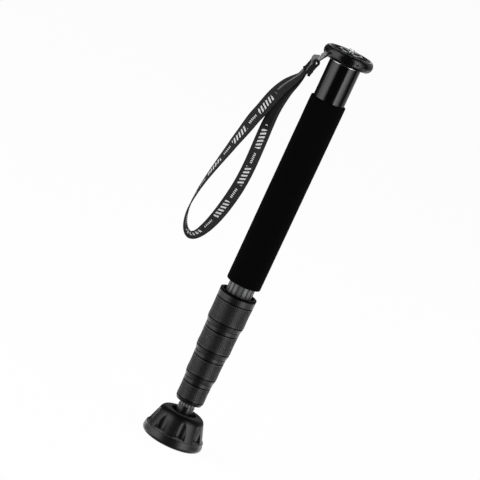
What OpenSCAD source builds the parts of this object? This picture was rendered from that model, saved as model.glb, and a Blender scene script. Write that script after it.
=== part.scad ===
// Camera monopod: six telescoping sections, twist locks inside, a swivelling rubber foot and a wrist strap.
// Millimetres, +Z up along the leg, the foot's sole at z = 0, the strap on the -X side, the front at -Y.

/* [Tubes] */
// Outside diameter of the smooth upper tube
upper_d = 30; // [27:0.5:36]
// Wall of the upper tube
upper_wall = 1.2; // [1:0.1:1.6]
// Radial room between the upper tube's bore and the first fluted tube
bush_room = 1.2; // [1:0.1:1.5]
// Wall of the fluted tubes
inner_wall = 0.9; // [0.7:0.05:1]
// Radial play between a fluted tube and the tube round it
nest_play = 0.375; // [0.3:0.025:0.5]
// Flutes round each inner tube
flutes = 16; // [12:2:20]
// Depth of a flute
flute_depth = 0.3; // [0.2:0.05:0.4]

/* [Collars] */
// Wall of the top collar round its tube
collar_wall = 5.25; // [4.8:0.05:6]
// How much thinner each collar's wall is than the one above
collar_thin = 0.125; // [0.05:0.025:0.15]
// Height of the rubber grip on the top collar
grip_h = 20.8; // [20:0.1:26]
// How much each grip is shorter than the one above
grip_drop = 1.75; // [1.5:0.05:2.6]
// Height of the smooth rim above a grip
rim_h = 4.5; // [4.4:0.1:6]
// How much taller the rim of the top collar is
rim_more = 4.3; // [3:0.1:6]
// Height of the tapered lip below a grip
lip_h = 4.5; // [4:0.1:6]
// How much shorter the lip of the last collar is
lip_less = 1.4; // [1:0.1:2]
// Thickness of the rubber grips
grip_t = 1.6; // [1.2:0.1:2]
// How far the grips stand back from the collars
grip_back = 0.05; // [0:0.05:0.4]

/* [Upper part] */
// Length of the foam grip
foam_h = 186.4; // [170:0.1:210]
// Thickness of the foam at its top
foam_wall = 2; // [1.3:0.1:3]
// How much thinner the foam is at its bottom
foam_thin = 0.4; // [0:0.05:0.5]
// Bare tube between the foam and the plate
bare_h = 37.5; // [30:0.1:50]
// How far the second section is drawn out in the photo
drawn_out = 9.6; // [2:0.1:20]

/* [Plate] */
// Diameter of the camera plate
plate_d = 47.6; // [44:0.1:56]
// Thickness of the camera plate
plate_t = 10; // [9:0.1:12]
// Diameter of the pad in the plate's top
pad_d = 39; // [36:0.5:41]
// Free length of the camera screw above the pad
screw_h = 3.5; // [3:0.1:6]

/* [Foot] */
// Diameter of the foot's base ring
foot_d = 59; // [54:0.5:66]
// Height of the rubber foot
foot_h = 30; // [28:0.5:32]
// Height of the base ring
ring_h = 9.8; // [9:0.1:11]
// Scallops round the foot
scallops = 8; // [6:1:10]
// Leg between the foot and the last collar
neck_h = 10.7; // [10:0.1:15]

/* [Strap] */
// Width of the webbing
strap_w = 12; // [9:0.5:12]
// Thickness of the webbing
strap_t = 1.3; // [1:0.1:1.4]

/* [Hidden] */
$fn = 72;
eps = 0.01;
fit = 0.02;
run = 0.05;
gap = 0.3;

// Tubes, numbered from 1 at the top to 6 at the foot
tube_step = 2 * (inner_wall + nest_play);
inner_d = upper_d - 2 * upper_wall - 2 * bush_room;
function tube_d(n) = n == 1 ? upper_d : inner_d - (n - 2) * tube_step;
function bore_d(n) = tube_d(n) - 2 * (n == 1 ? upper_wall : inner_wall);

// Collars, numbered from 2 to 5 like the tube that each one sits on
function col_d(n) = tube_d(n) + 2 * (collar_wall - (n - 2) * collar_thin);
function col_grip_h(n) = grip_h - (n - 2) * grip_drop;
function lip(n) = n == 5 ? lip_h - lip_less : lip_h;
function col_h(n) = lip(n) + col_grip_h(n) + rim_h + (n == 2 ? rim_more : 0);
function col_z(n) = n == 5 ? foot_h + neck_h : col_z(n + 1) + col_h(n + 1) + gap;
function col_top(n) = col_z(n) + col_h(n);
function grip_z(n) = col_z(n) + lip(n);
rim_wall = 1.7;
cup_depth = 4.2;
cup_play = 0.3;
function cup_d(n) = col_d(n) - 2 * rim_wall;
function tail_len(n) = n == 5 ? 0 : cup_depth - 0.8;
function tail_d(n) = n == 5 ? col_d(n) - 3 : cup_d(n + 1) - 2 * cup_play;

// Guide bushes below the tubes' ends
bush_h = 8;
bush_play = 0.1;
bush_wall = 1.5;
function bush_in(n) = tube_d(n + 1) + 2 * bush_play;
function bush_out(n) = bush_in(n) + 2 * bush_wall;
function bush_z(n) = col_z(n) - tail_len(n) + gap;

// Heights of the upper part
foam_z = col_top(2) + drawn_out;
foam_top = foam_z + foam_h;
plate_z = foam_top + bare_h;
plate_top = plate_z + plate_t;
mouth_flange = 1.5;
mouth_z = foam_z + 0.7;
mouth_h = 12;
upper_z = mouth_z + mouth_flange;
collar_ring_h = 1.2;
spigot_h = 10.6;
spigot_z = plate_z - collar_ring_h - spigot_h;

// Twist locks, numbered like the tube whose top carries them
plug_h = 8;
lock_h = 18;
lock_flange = 2;
lock_cap = 1.7;
function tube_top(n) = n == 2 ? spigot_z - 1.5 - drawn_out - lock_h : tube_top(n - 1) - plug_h - 0.5 - lock_h;
ball_z = 12.5;
ball_r = 7;
liner_t = 1.15;
stud_shoulder_z = foot_h - 5.5;
stud_shoulder_h = 3.5;
stud_r = 4;
stud_plug_h = 9;
pin_r = 1.6;
pin_half = ball_r + liner_t - 0.25;
ferrule_t = 0.4;
ferrule_h = 12;
ferrule_r = tube_d(6) / 2 + ferrule_t;
recess_play = 3;
recess_r = ferrule_r + recess_play;
recess_flare = 1.6;
sole_t = 3;
cap_t = 1.2;
cap_play = 0.1;
socket_lip = 1.1;
socket_out_r = recess_r + socket_lip;
socket_z = sole_t + cap_t;
socket_top = ball_z + 5.5;
socket_r = ball_r + run + liner_t + run;
drain_r = 4.5;
function tube_low(n) = n == 1 ? upper_z : n == 6 ? stud_shoulder_z + stud_shoulder_h : bush_z(n) + bush_h;

// Plate details
plate_r = plate_d / 2;
edge_r = plate_t * 0.62;
pad_t = 1.4;
pad_up = 0.3;
pad_hole_r = 9;
flange_r = 8.7;
flange_t = 1.2;
screw_r = 6.35 / 2;
big_screw_r = 9.52 / 2;
screw_top = plate_top + pad_up + screw_h;
set_turn = 24.5;
set_r = 1.5;
slot_turn = -44.5;
slot_sweep = 34;
slot_in = 3.4;
slot_w = 3.6;
slot_t = 1.7;

// Strap route as [x, z, y, turn of the outer face]: 0 faces the front, 90 out of the loop, 180 the back
drawn_plate_r = 23.8;
drawn_plate_z = 385.6;
strap_lean = plate_r - drawn_plate_r;
strap_move = [strap_lean * sin(slot_turn), -strap_lean * cos(slot_turn), plate_z - drawn_plate_z];
strap_y = -15;
strap_route = [
    [-29.0, 364.6, -1.0, 0],
    [-31.5, 360.4, -1.3, 0],
    [-36.5, 351.5, -1.6, 0],
    [-42.5, 343.0, -1.5, 0],
    [-47.0, 334.5, -1.2, 0],
    [-50.0, 326.0, -0.8, 2],
    [-52.6, 317.0, -0.4, 8],
    [-55.2, 306.0, 0, 18],
    [-58.3, 293.0, 0, 35],
    [-61.0, 282.5, 0, 46],
    [-63.3, 272.5, 0, 55],
    [-65.5, 263.5, 0, 62],
    [-67.4, 255.5, 0, 68],
    [-69.2, 247.5, 0, 73],
    [-70.9, 239.5, 0, 78],
    [-72.4, 231.0, 0, 82],
    [-73.5, 222.5, 0, 86],
    [-74.2, 214.0, 0, 89],
    [-74.0, 206.0, 0, 92],
    [-72.8, 199.0, 0, 95],
    [-70.6, 193.0, 0, 99],
    [-67.4, 188.6, 0, 104],
    [-63.4, 186.6, 0, 110],
    [-59.6, 188.0, 0, 117],
    [-56.4, 191.5, 0, 125],
    [-53.6, 196.5, 0, 133],
    [-51.0, 202.5, 0, 141],
    [-48.6, 209.5, 0, 149],
    [-46.4, 217.5, 0, 157],
    [-44.4, 226.5, 0, 164],
    [-42.6, 236.5, 0, 170],
    [-41.2, 247.0, 0, 175],
    [-40.4, 258.0, 0, 178],
    [-40.1, 270.0, 0, 180],
    [-40.3, 282.0, 0, 180],
    [-40.5, 294.0, 0.2, 180],
    [-40.2, 306.0, 0.4, 180],
    [-39.2, 318.0, 0.6, 180],
    [-37.6, 330.0, 0.8, 180],
    [-35.2, 342.0, 1.0, 180],
    [-32.4, 353.0, 1.2, 180],
    [-29.8, 361.2, 1.1, 180],
    [-28.7, 364.9, 1.0, 180]
];

// Arch of the knot from the cut tail up over the tether and down again, as [x, z, y, turn]
knot_route = [
    [-25.2, 362.5, -3.4, 180],
    [-24.4, 366.5, -3.6, 180],
    [-23.2, 370.5, -3.4, 175],
    [-21.9, 374.5, -2.2, 145],
    [-21.6, 378.0, -0.6, 105],
    [-23.0, 381.6, 0, 92],
    [-25.7, 383.5, 0, 90],
    [-28.4, 382.4, 0, 88],
    [-29.8, 379.0, 0, 88],
    [-30.0, 375.6, 0, 90],
    [-29.8, 372.6, 0, 90]
];
knot_w = 5.2;
knot_t = 1.5;

// Tether from the slot down behind the knot's arch, under it, up in front and into the side window,
// as [point, direction across the ribbon, width]
tether_t = 0.8;
tether_route = [
    [[-17.4, -8.9, 389.8], [0.45, -0.89, 0], 4.6],
    [[-17.4, -8.9, 387.2], [0.45, -0.89, 0], 4.6],
    [[-17.2, -8.75, 385.2], [0.5, -0.85, 0], 4.6],
    [[-18.6, -9.4, 384.0], [0.75, -0.6, -0.1], 4.6],
    [[-20.6, -10.5, 382.5], [0.95, -0.2, -0.25], 4.6],
    [[-22.4, -11.1, 381.1], [0.88, 0, -0.47], 4.4],
    [[-24.2, -11.6, 380.4], [0.75, 0, -0.66], 3.8],
    [[-25.1, -13.2, 379.9], [0.7, 0, -0.71], 3.4],
    [[-25.0, -15.0, 379.6], [0.7, 0, -0.71], 3.4],
    [[-25.1, -16.8, 379.8], [0.7, 0, -0.71], 3],
    [[-24.5, -18.7, 380.3], [0.75, 0, -0.66], 2.6],
    [[-22.7, -19.7, 381.5], [0.85, -0.1, -0.5], 2.4],
    [[-20.2, -19.2, 383.4], [0.75, -0.45, -0.4], 2.2],
    [[-18.4, -18.7, 385.8], [0.7, -0.65, -0.2], 2.2],
    [[-17.4, -18.2, 388.0], [0.71, -0.7, 0], 2.2],
    [[-17.3, -17.8, 389.6], [0.71, -0.7, 0], 2.2],
    [[-16.9, -17.2, 390.25], [0.71, -0.7, 0], 2.2],
    [[-15.8, -16.05, 390.25], [0.71, -0.7, 0], 2.2],
    [[-13.8, -14.05, 390.25], [0.71, -0.7, 0], 2.2]
];

// Ring between two radii
module ring(z0, z1, r_out, r_in) {
    translate([0, 0, z0])
        difference() {
            cylinder(h = z1 - z0, r = r_out);
            translate([0, 0, -1])
                cylinder(h = z1 - z0 + 2, r = r_in);
        }
}

// Something placed round the axis: 0 degrees is the front, positive turns to the right
module around(turn) {
    rotate([0, 0, turn - 90])
        children();
}

// Flat band along a route of [x, z, y, turn] rows
function unit(v) = v / norm(v);
function route_point(row) = [row[0], strap_y + row[2], row[1]] + strap_move;
function route_tangent(rows, i) =
    let (a = route_point(rows[max(0, i - 1)]))
    let (b = route_point(rows[min(len(rows) - 1, i + 1)]))
    unit(b - a);
function band_corners(rows, i, w, t) =
    let (p = route_point(rows[i]))
    let (along = route_tangent(rows, i))
    let (out = unit(cross(along, [0, -1, 0])))
    let (front = unit(cross(out, along)))
    let (face = cos(rows[i][3]) * front + sin(rows[i][3]) * out)
    let (side = cross(along, face))
    [p - side * w / 2 - face * t / 2, p + side * w / 2 - face * t / 2,
     p + side * w / 2 + face * t / 2, p - side * w / 2 + face * t / 2];

function tether_corners(i) =
    let (last = len(tether_route) - 1)
    let (p = tether_route[i][0] + strap_move)
    let (along = unit(tether_route[min(last, i + 1)][0] - tether_route[max(0, i - 1)][0]))
    let (across = tether_route[i][1])
    let (side = unit(across - along * (across * along)))
    let (face = cross(side, along))
    let (w = tether_route[i][2])
    [p - side * w / 2 - face * tether_t / 2, p + side * w / 2 - face * tether_t / 2,
     p + side * w / 2 + face * tether_t / 2, p - side * w / 2 + face * tether_t / 2];

// Solid skin over rows of four corners
module skin(corners) {
    last = len(corners) - 1;
    points = [for (row = corners) for (c = row) c];
    sides = [for (i = [0:last - 1]) for (k = [0:3])
        [i * 4 + k, (i + 1) * 4 + k, (i + 1) * 4 + (k + 1) % 4, i * 4 + (k + 1) % 4]];
    tris = [for (f = sides) for (h = [0, 1]) h == 0 ? [f[0], f[1], f[2]] : [f[0], f[2], f[3]]];
    far = last * 4;
    ends = [[0, 1, 2], [0, 2, 3], [far, far + 2, far + 1], [far, far + 3, far + 2]];
    polyhedron(points = points, faces = concat(tris, ends), convexity = 10);
}

module band(rows, w, t) {
    skin([for (i = [0:len(rows) - 1]) band_corners(rows, i, w, t)]);
}

// Foot
module foot_profile() {
    r = foot_d / 2;
    soft = 6;
    top_r = foot_d * 0.373;
    polygon(concat(
        [[0, 0], [r - 3.5, 0], [r - 1.8, 0.9], [r - 0.8, 1.9], [r - 0.2, 3], [r, 4.2]],
        [[r - 0.7, ring_h * 0.8], [r - 0.9, ring_h - 0.4], [r - 1.3, ring_h], [r - 2, ring_h]],
        [for (a = [22:8.5:90]) [top_r - soft + soft * cos(a), foot_h - soft + soft * sin(a)]],
        [[0, foot_h]]));
}

module rubber_foot() {
    cut_r = foot_d * 0.104;
    cut_at = foot_d * 0.472;
    recess_z = foot_h - 5.1;
    color("#1c1c1d")
        difference() {
            rotate_extrude()
                foot_profile();
            for (k = [0:scallops - 1])
                around(13 + k * 360 / scallops)
                    translate([cut_at, 0, ring_h + 0.25])
                        cylinder(h = foot_h, r = cut_r);
            translate([0, 0, sole_t])
                cylinder(h = socket_top - sole_t + 0.1, r = socket_out_r);
            translate([0, 0, socket_top])
                cylinder(h = recess_z - socket_top + 0.1, r = recess_r);
            translate([0, 0, recess_z])
                cylinder(h = foot_h - recess_z + 0.1, r1 = recess_r, r2 = recess_r + recess_flare);
        }
}

module foot_socket() {
    color("#d9d6cc")
        difference() {
            translate([0, 0, socket_z])
                cylinder(h = socket_top - socket_z, r = socket_out_r - fit);
            translate([0, 0, ball_z])
                sphere(r = socket_r);
            translate([0, 0, socket_z - 0.2])
                cylinder(h = ball_z - socket_z - 4, r = drain_r);
            translate([0, 0, ball_z + socket_r * 0.58])
                cylinder(h = 8, r1 = socket_r * 0.82, r2 = recess_r + 0.1);
        }
}

module socket_cap() {
    color("#9b9c9e")
        translate([0, 0, sole_t + fit])
            cylinder(h = cap_t - 2 * fit, r = socket_out_r - cap_play);
}

module foot_liner() {
    color("#f0eee6")
        difference() {
            translate([0, 0, ball_z])
                sphere(r = ball_r + run + liner_t);
            translate([0, 0, ball_z])
                sphere(r = ball_r + run);
            cylinder(h = ball_z - ball_r * 0.57, r = ball_r / 2);
            translate([0, 0, ball_z + ball_r * 0.6])
                cylinder(h = ball_r, r = socket_out_r);
            translate([0, 0, ball_z])
                rotate([90, 0, 0])
                    cylinder(h = 4 * ball_r, r = pin_r + fit, center = true);
        }
}

// Pin across the ball, the axis of the tilt
module tilt_pin() {
    color("#a5a7aa")
        translate([0, 0, ball_z])
            rotate([90, 0, 0])
                cylinder(h = 2 * pin_half, r = pin_r, center = true);
}

module ball_stud() {
    color("#b9bbbe")
        difference() {
            union() {
                translate([0, 0, ball_z])
                    sphere(r = ball_r);
                translate([0, 0, ball_z])
                    cylinder(h = stud_shoulder_z - ball_z + 1, r = stud_r);
                translate([0, 0, stud_shoulder_z])
                    cylinder(h = stud_shoulder_h, r = tube_d(6) / 2 - fit);
                translate([0, 0, stud_shoulder_z + 1])
                    cylinder(h = stud_shoulder_h - 1 + stud_plug_h, r = bore_d(6) / 2 - fit);
            }
            translate([0, 0, ball_z])
                rotate([90, 0, 0])
                    cylinder(h = 4 * ball_r, r = pin_r + run, center = true);
        }
}

module foot_ferrule() {
    color("#111112")
        ring(stud_shoulder_z, stud_shoulder_z + ferrule_h, ferrule_r, tube_d(6) / 2 + fit);
}

// Tubes
module fluted_tube(n) {
    r = tube_d(n) / 2;
    cut_r = 0.75;
    difference() {
        ring(tube_low(n), tube_top(n), r, bore_d(n) / 2);
        for (k = [0:flutes - 1])
            around((k + 0.5) * 360 / flutes)
                translate([r + cut_r - flute_depth, 0, tube_low(n) - 1])
                    cylinder(h = tube_top(n) - tube_low(n) + 2, r = cut_r, $fn = 24);
    }
}

module tube_1() {
    color("#121213")
        ring(upper_z, plate_z - collar_ring_h, upper_d / 2, bore_d(1) / 2);
}
module tube_2() {
    color("#8d8f92")
        fluted_tube(2);
}
module tube_3() {
    color("#8d8f92")
        fluted_tube(3);
}
module tube_4() {
    color("#8d8f92")
        fluted_tube(4);
}
module tube_5() {
    color("#8d8f92")
        fluted_tube(5);
}
module tube_6() {
    color("#c3c5c8")
        fluted_tube(6);
}

// Twist lock: the core turns with its own tube, the split sleeve grips the tube round it
function sleeve_r(n) = bore_d(n - 1) / 2 - run;
function cone_low_r(n) = sleeve_r(n) - 1.6;
function cone_top_r(n) = sleeve_r(n) - 3.2;

module lock_core(n) {
    z = tube_top(n);
    cone_z = z + lock_flange;
    cone_h = lock_h - lock_flange - lock_cap;
    color("#e4e1d6")
        union() {
            translate([0, 0, z - plug_h])
                cylinder(h = plug_h, r = bore_d(n) / 2 - fit);
            translate([0, 0, z])
                cylinder(h = lock_flange, r = tube_d(n) / 2 - 0.3);
            translate([0, 0, cone_z])
                cylinder(h = cone_h, r1 = cone_low_r(n), r2 = cone_top_r(n));
            translate([0, 0, cone_z + cone_h])
                cylinder(h = lock_cap, r = sleeve_r(n) - 0.6);
        }
}

module lock_sleeve(n) {
    z = tube_top(n) + lock_flange + gap;
    h = lock_h - lock_flange - lock_cap - 2 * gap;
    color("#2a4f86")
        difference() {
            translate([0, 0, z])
                cylinder(h = h, r = sleeve_r(n));
            translate([0, 0, z - gap])
                cylinder(h = h + 2 * gap, r1 = cone_low_r(n) + 0.1, r2 = cone_top_r(n) + 0.1);
            translate([0, -1, z - 1])
                cube([20, 2, h + 2]);
        }
}

module lock_core_2() {
    lock_core(2);
}
module lock_core_3() {
    lock_core(3);
}
module lock_core_4() {
    lock_core(4);
}
module lock_core_5() {
    lock_core(5);
}
module lock_core_6() {
    lock_core(6);
}
module lock_sleeve_2() {
    lock_sleeve(2);
}
module lock_sleeve_3() {
    lock_sleeve(3);
}
module lock_sleeve_4() {
    lock_sleeve(4);
}
module lock_sleeve_5() {
    lock_sleeve(5);
}
module lock_sleeve_6() {
    lock_sleeve(6);
}

// Guide bushes
module mouth_bush() {
    color("#e4e1d6")
        union() {
            ring(mouth_z, upper_z, upper_d / 2 - 0.2, bush_in(1) / 2);
            ring(upper_z - eps, upper_z + mouth_h, bore_d(1) / 2 - fit, bush_in(1) / 2);
        }
}
module guide_bush(n) {
    color("#e4e1d6")
        ring(bush_z(n), bush_z(n) + bush_h, bush_out(n) / 2 - fit, bush_in(n) / 2);
}
module guide_bush_2() {
    guide_bush(2);
}
module guide_bush_3() {
    guide_bush(3);
}
module guide_bush_4() {
    guide_bush(4);
}
module guide_bush_5() {
    guide_bush(5);
}

// Collars: lip, seat of the grip, groove, rim with its open cup, tail below that nests in the next cup
module collar_shell(n) {
    r = col_d(n) / 2;
    seat = r - grip_back - grip_t;
    z = col_z(n);
    top = col_top(n);
    groove = 0.8;
    rim_z = grip_z(n) + col_grip_h(n);
    color("#262627")
        difference() {
            rotate_extrude()
                polygon([[0, z - tail_len(n)], [tail_d(n) / 2, z - tail_len(n)], [tail_d(n) / 2, z],
                    [r - 1.4, z], [r - 0.3, z + lip(n) - 0.5], [r - 0.3, z + lip(n)], [seat, z + lip(n)],
                    [seat, rim_z], [r - 0.9, rim_z], [r - 0.9, rim_z + groove], [r, rim_z + groove],
                    [r, top - 0.4], [r - 0.4, top], [0, top]]);
            translate([0, 0, top - cup_depth])
                cylinder(h = cup_depth + 1, r = cup_d(n) / 2);
            translate([0, 0, tube_low(n)])
                cylinder(h = top, r = tube_d(n) / 2 + fit);
            translate([0, 0, z - tail_len(n) - 1])
                cylinder(h = bush_h + gap + 1, r = bush_out(n) / 2);
        }
}
module collar_shell_2() {
    collar_shell(2);
}
module collar_shell_3() {
    collar_shell(3);
}
module collar_shell_4() {
    collar_shell(4);
}
module collar_shell_5() {
    collar_shell(5);
}

module collar_grip(n) {
    r = col_d(n) / 2 - grip_back;
    h = col_grip_h(n);
    inside = r - grip_t + fit;
    color("#303031")
        translate([0, 0, grip_z(n)])
            rotate_extrude()
                polygon([[inside, fit], [r - 0.3, fit], [r, 0.3 + fit], [r - 0.12, h * 0.25],
                    [r - 0.2, h * 0.5], [r - 0.12, h * 0.75], [r, h - 0.3 - fit], [r - 0.3, h - fit],
                    [inside, h - fit]]);
}
module collar_grip_2() {
    collar_grip(2);
}
module collar_grip_3() {
    collar_grip(3);
}
module collar_grip_4() {
    collar_grip(4);
}
module collar_grip_5() {
    collar_grip(5);
}

// Foam grip with rounded ends
module foam_grip() {
    low = upper_d / 2 + foam_wall - foam_thin;
    up = upper_d / 2 + foam_wall;
    inside = upper_d / 2 + fit;
    soft = low - inside - 0.25;
    color("#0d0d0e")
        translate([0, 0, foam_z])
            rotate_extrude()
                polygon(concat([[inside, 0]],
                    [for (a = [-90:15:0]) [low - soft + soft * cos(a), soft + soft * sin(a)]],
                    [for (a = [0:15:90]) [up - soft + soft * cos(a), foam_h - soft + soft * sin(a)]],
                    [[inside, foam_h]]));
}

// Camera plate and what it carries
module plate_spigot() {
    color("#c9cbce")
        difference() {
            union() {
                translate([0, 0, spigot_z])
                    cylinder(h = spigot_h + 0.5, r = bore_d(1) / 2 - fit);
                translate([0, 0, plate_z - collar_ring_h])
                    cylinder(h = collar_ring_h * 0.5, r = upper_d / 2);
                translate([0, 0, plate_z - collar_ring_h * 0.5])
                    cylinder(h = collar_ring_h * 0.5, r1 = upper_d / 2, r2 = upper_d / 2 - 0.5);
            }
            translate([0, 0, spigot_z - 1])
                cylinder(h = plate_z - spigot_z + 2, r = big_screw_r + fit);
        }
}

module camera_plate() {
    mid = plate_z + plate_t / 2;
    color("#1b1b1c")
        difference() {
            rotate_extrude()
                difference() {
                    union() {
                        translate([0, plate_z])
                            square([plate_r - edge_r, plate_t]);
                        intersection() {
                            translate([plate_r - edge_r, mid])
                                circle(r = edge_r);
                            translate([plate_r - edge_r - 1, plate_z])
                                square([edge_r + 2, plate_t]);
                        }
                    }
                    translate([0, plate_top - pad_t + pad_up])
                        square([pad_d / 2, pad_t]);
                    translate([0, plate_top - pad_t + pad_up - flange_t])
                        square([flange_r, flange_t + 1]);
                    translate([0, plate_z - 1])
                        square([big_screw_r + fit, plate_t + 2]);
                }
            around(set_turn)
                translate([plate_r - 6, 0, mid])
                    rotate([0, 90, 0])
                        cylinder(h = 10, r = set_r);
            around(slot_turn - slot_sweep + 4)
                translate([0, 0, plate_z - 1])
                    rotate_extrude(angle = slot_sweep)
                        translate([plate_r - slot_in - slot_t, 0])
                            square([slot_t, plate_t * 0.55 + 1]);
            around(slot_turn)
                translate([plate_r - slot_in - slot_t, -slot_w / 2, mid - 1.2])
                    cube([slot_in + slot_t + 2, slot_w, 1.7]);
        }
}

module plate_pad() {
    z = plate_top - pad_t + pad_up;
    window_r = (pad_d / 2 + pad_hole_r) / 2;
    window_w = 2.6;
    windows = 6;
    sweep = 34;
    color("#19191a")
        difference() {
            ring(z, z + pad_t, pad_d / 2 - fit, pad_hole_r);
            for (k = [0:windows - 1])
                around(k * 360 / windows) {
                    translate([0, 0, z + 0.5])
                        rotate([0, 0, -sweep / 2])
                            rotate_extrude(angle = sweep)
                                translate([window_r - window_w, 0])
                                    square([2 * window_w, pad_t]);
                    for (side = [-1, 1])
                        rotate([0, 0, side * sweep / 2])
                            translate([window_r, 0, z + 0.5])
                                cylinder(h = pad_t, r = window_w, $fn = 36);
                }
        }
}

module screw_flange() {
    z = plate_top - pad_t + pad_up - flange_t;
    color("#d8dadd")
        ring(z, z + flange_t, flange_r - fit, big_screw_r + fit);
}

module camera_screw() {
    z = plate_top - pad_t + pad_up - flange_t;
    color("#cfd1d4")
        difference() {
            union() {
                translate([0, 0, spigot_z + 0.5])
                    cylinder(h = z + flange_t - spigot_z - 0.5, r = big_screw_r);
                translate([0, 0, z])
                    cylinder(h = screw_top - z - 0.6, r = screw_r);
                translate([0, 0, screw_top - 0.6])
                    cylinder(h = 0.6, r1 = screw_r, r2 = screw_r - 0.6);
            }
            translate([-0.6, -8, screw_top - 1.4])
                cube([1.2, 16, 3]);
        }
}

module set_screw() {
    mid = plate_z + plate_t / 2;
    color("#3a3a3c")
        around(set_turn)
            translate([plate_r - 6 + fit, 0, mid])
                rotate([0, 90, 0])
                    difference() {
                        cylinder(h = 5, r = set_r - fit);
                        translate([0, 0, 3.2])
                            cylinder(h = 3, r = 0.75, $fn = 6);
                    }
}

// Strap: tether through the plate's edge, arched knot, wrap and the long loop
module strap_tether() {
    color("#b7b8ba")
        skin([for (i = [0:len(tether_route) - 1]) tether_corners(i)]);
}

module strap_knot() {
    color("#58595b")
        band(knot_route, knot_w, knot_t);
}

module strap_wrap() {
    w = 10.6;
    d = 4.4;
    color("#4a4b4d")
        translate([-27.8, strap_y, 366.2] + strap_move)
            rotate([0, 18, 0])
                linear_extrude(height = 4.5)
                    union() {
                        square([w - d, d], center = true);
                        for (s = [-1, 1])
                            translate([s * (w - d) / 2, 0])
                                circle(r = d / 2, $fn = 36);
                    }
}

module strap_loop() {
    color("#3d3e40")
        band(strap_route, strap_w, strap_t);
}

rubber_foot();
foot_socket();
socket_cap();
foot_liner();
tilt_pin();
ball_stud();
foot_ferrule();
tube_1();
tube_2();
tube_3();
tube_4();
tube_5();
tube_6();
lock_core_2();
lock_core_3();
lock_core_4();
lock_core_5();
lock_core_6();
lock_sleeve_2();
lock_sleeve_3();
lock_sleeve_4();
lock_sleeve_5();
lock_sleeve_6();
mouth_bush();
guide_bush_2();
guide_bush_3();
guide_bush_4();
guide_bush_5();
collar_shell_2();
collar_shell_3();
collar_shell_4();
collar_shell_5();
collar_grip_2();
collar_grip_3();
collar_grip_4();
collar_grip_5();
foam_grip();
plate_spigot();
camera_plate();
plate_pad();
screw_flange();
camera_screw();
set_screw();
strap_tether();
strap_knot();
strap_wrap();
strap_loop();
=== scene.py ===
"""Looks of the camera monopod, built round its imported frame.

Lengths in the classes are in millimetres and become metres where a mesh is made.
"""

from __future__ import annotations

import logging
import math
from dataclasses import dataclass
from enum import Enum
from functools import lru_cache
from typing import Any, Callable, Sequence

import bmesh
import bpy
from mathutils import Matrix, Vector, noise


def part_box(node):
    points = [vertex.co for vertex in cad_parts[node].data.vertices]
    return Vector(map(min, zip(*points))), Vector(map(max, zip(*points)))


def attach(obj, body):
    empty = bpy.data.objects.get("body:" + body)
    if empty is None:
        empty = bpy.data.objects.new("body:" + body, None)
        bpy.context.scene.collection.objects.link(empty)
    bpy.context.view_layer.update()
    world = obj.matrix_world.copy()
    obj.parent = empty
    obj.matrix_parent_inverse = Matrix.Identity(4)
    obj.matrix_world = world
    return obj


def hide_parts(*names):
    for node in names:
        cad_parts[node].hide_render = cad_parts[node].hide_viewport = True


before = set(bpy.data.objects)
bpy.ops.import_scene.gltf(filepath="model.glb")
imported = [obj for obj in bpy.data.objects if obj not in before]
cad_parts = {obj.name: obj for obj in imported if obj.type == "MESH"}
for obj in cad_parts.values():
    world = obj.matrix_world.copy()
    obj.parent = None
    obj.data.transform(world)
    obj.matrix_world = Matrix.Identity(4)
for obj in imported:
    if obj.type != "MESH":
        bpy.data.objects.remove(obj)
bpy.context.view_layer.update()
LOG = logging.getLogger("monopod")
MM = 0.001
Tone = tuple[float, float, float]
Profile = Sequence[tuple[float, float]]
Rows = Sequence[Sequence[float]]
Bend = Callable[[float, float, float], float]
STEPS = 96
FRONT = Vector((0, -1, 0))


class Body(Enum):
    """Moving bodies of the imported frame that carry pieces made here."""

    UPPER = "upper"
    SECTION_2 = "section_2"
    SECTION_3 = "section_3"
    SECTION_4 = "section_4"
    SECTION_5 = "section_5"


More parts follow.
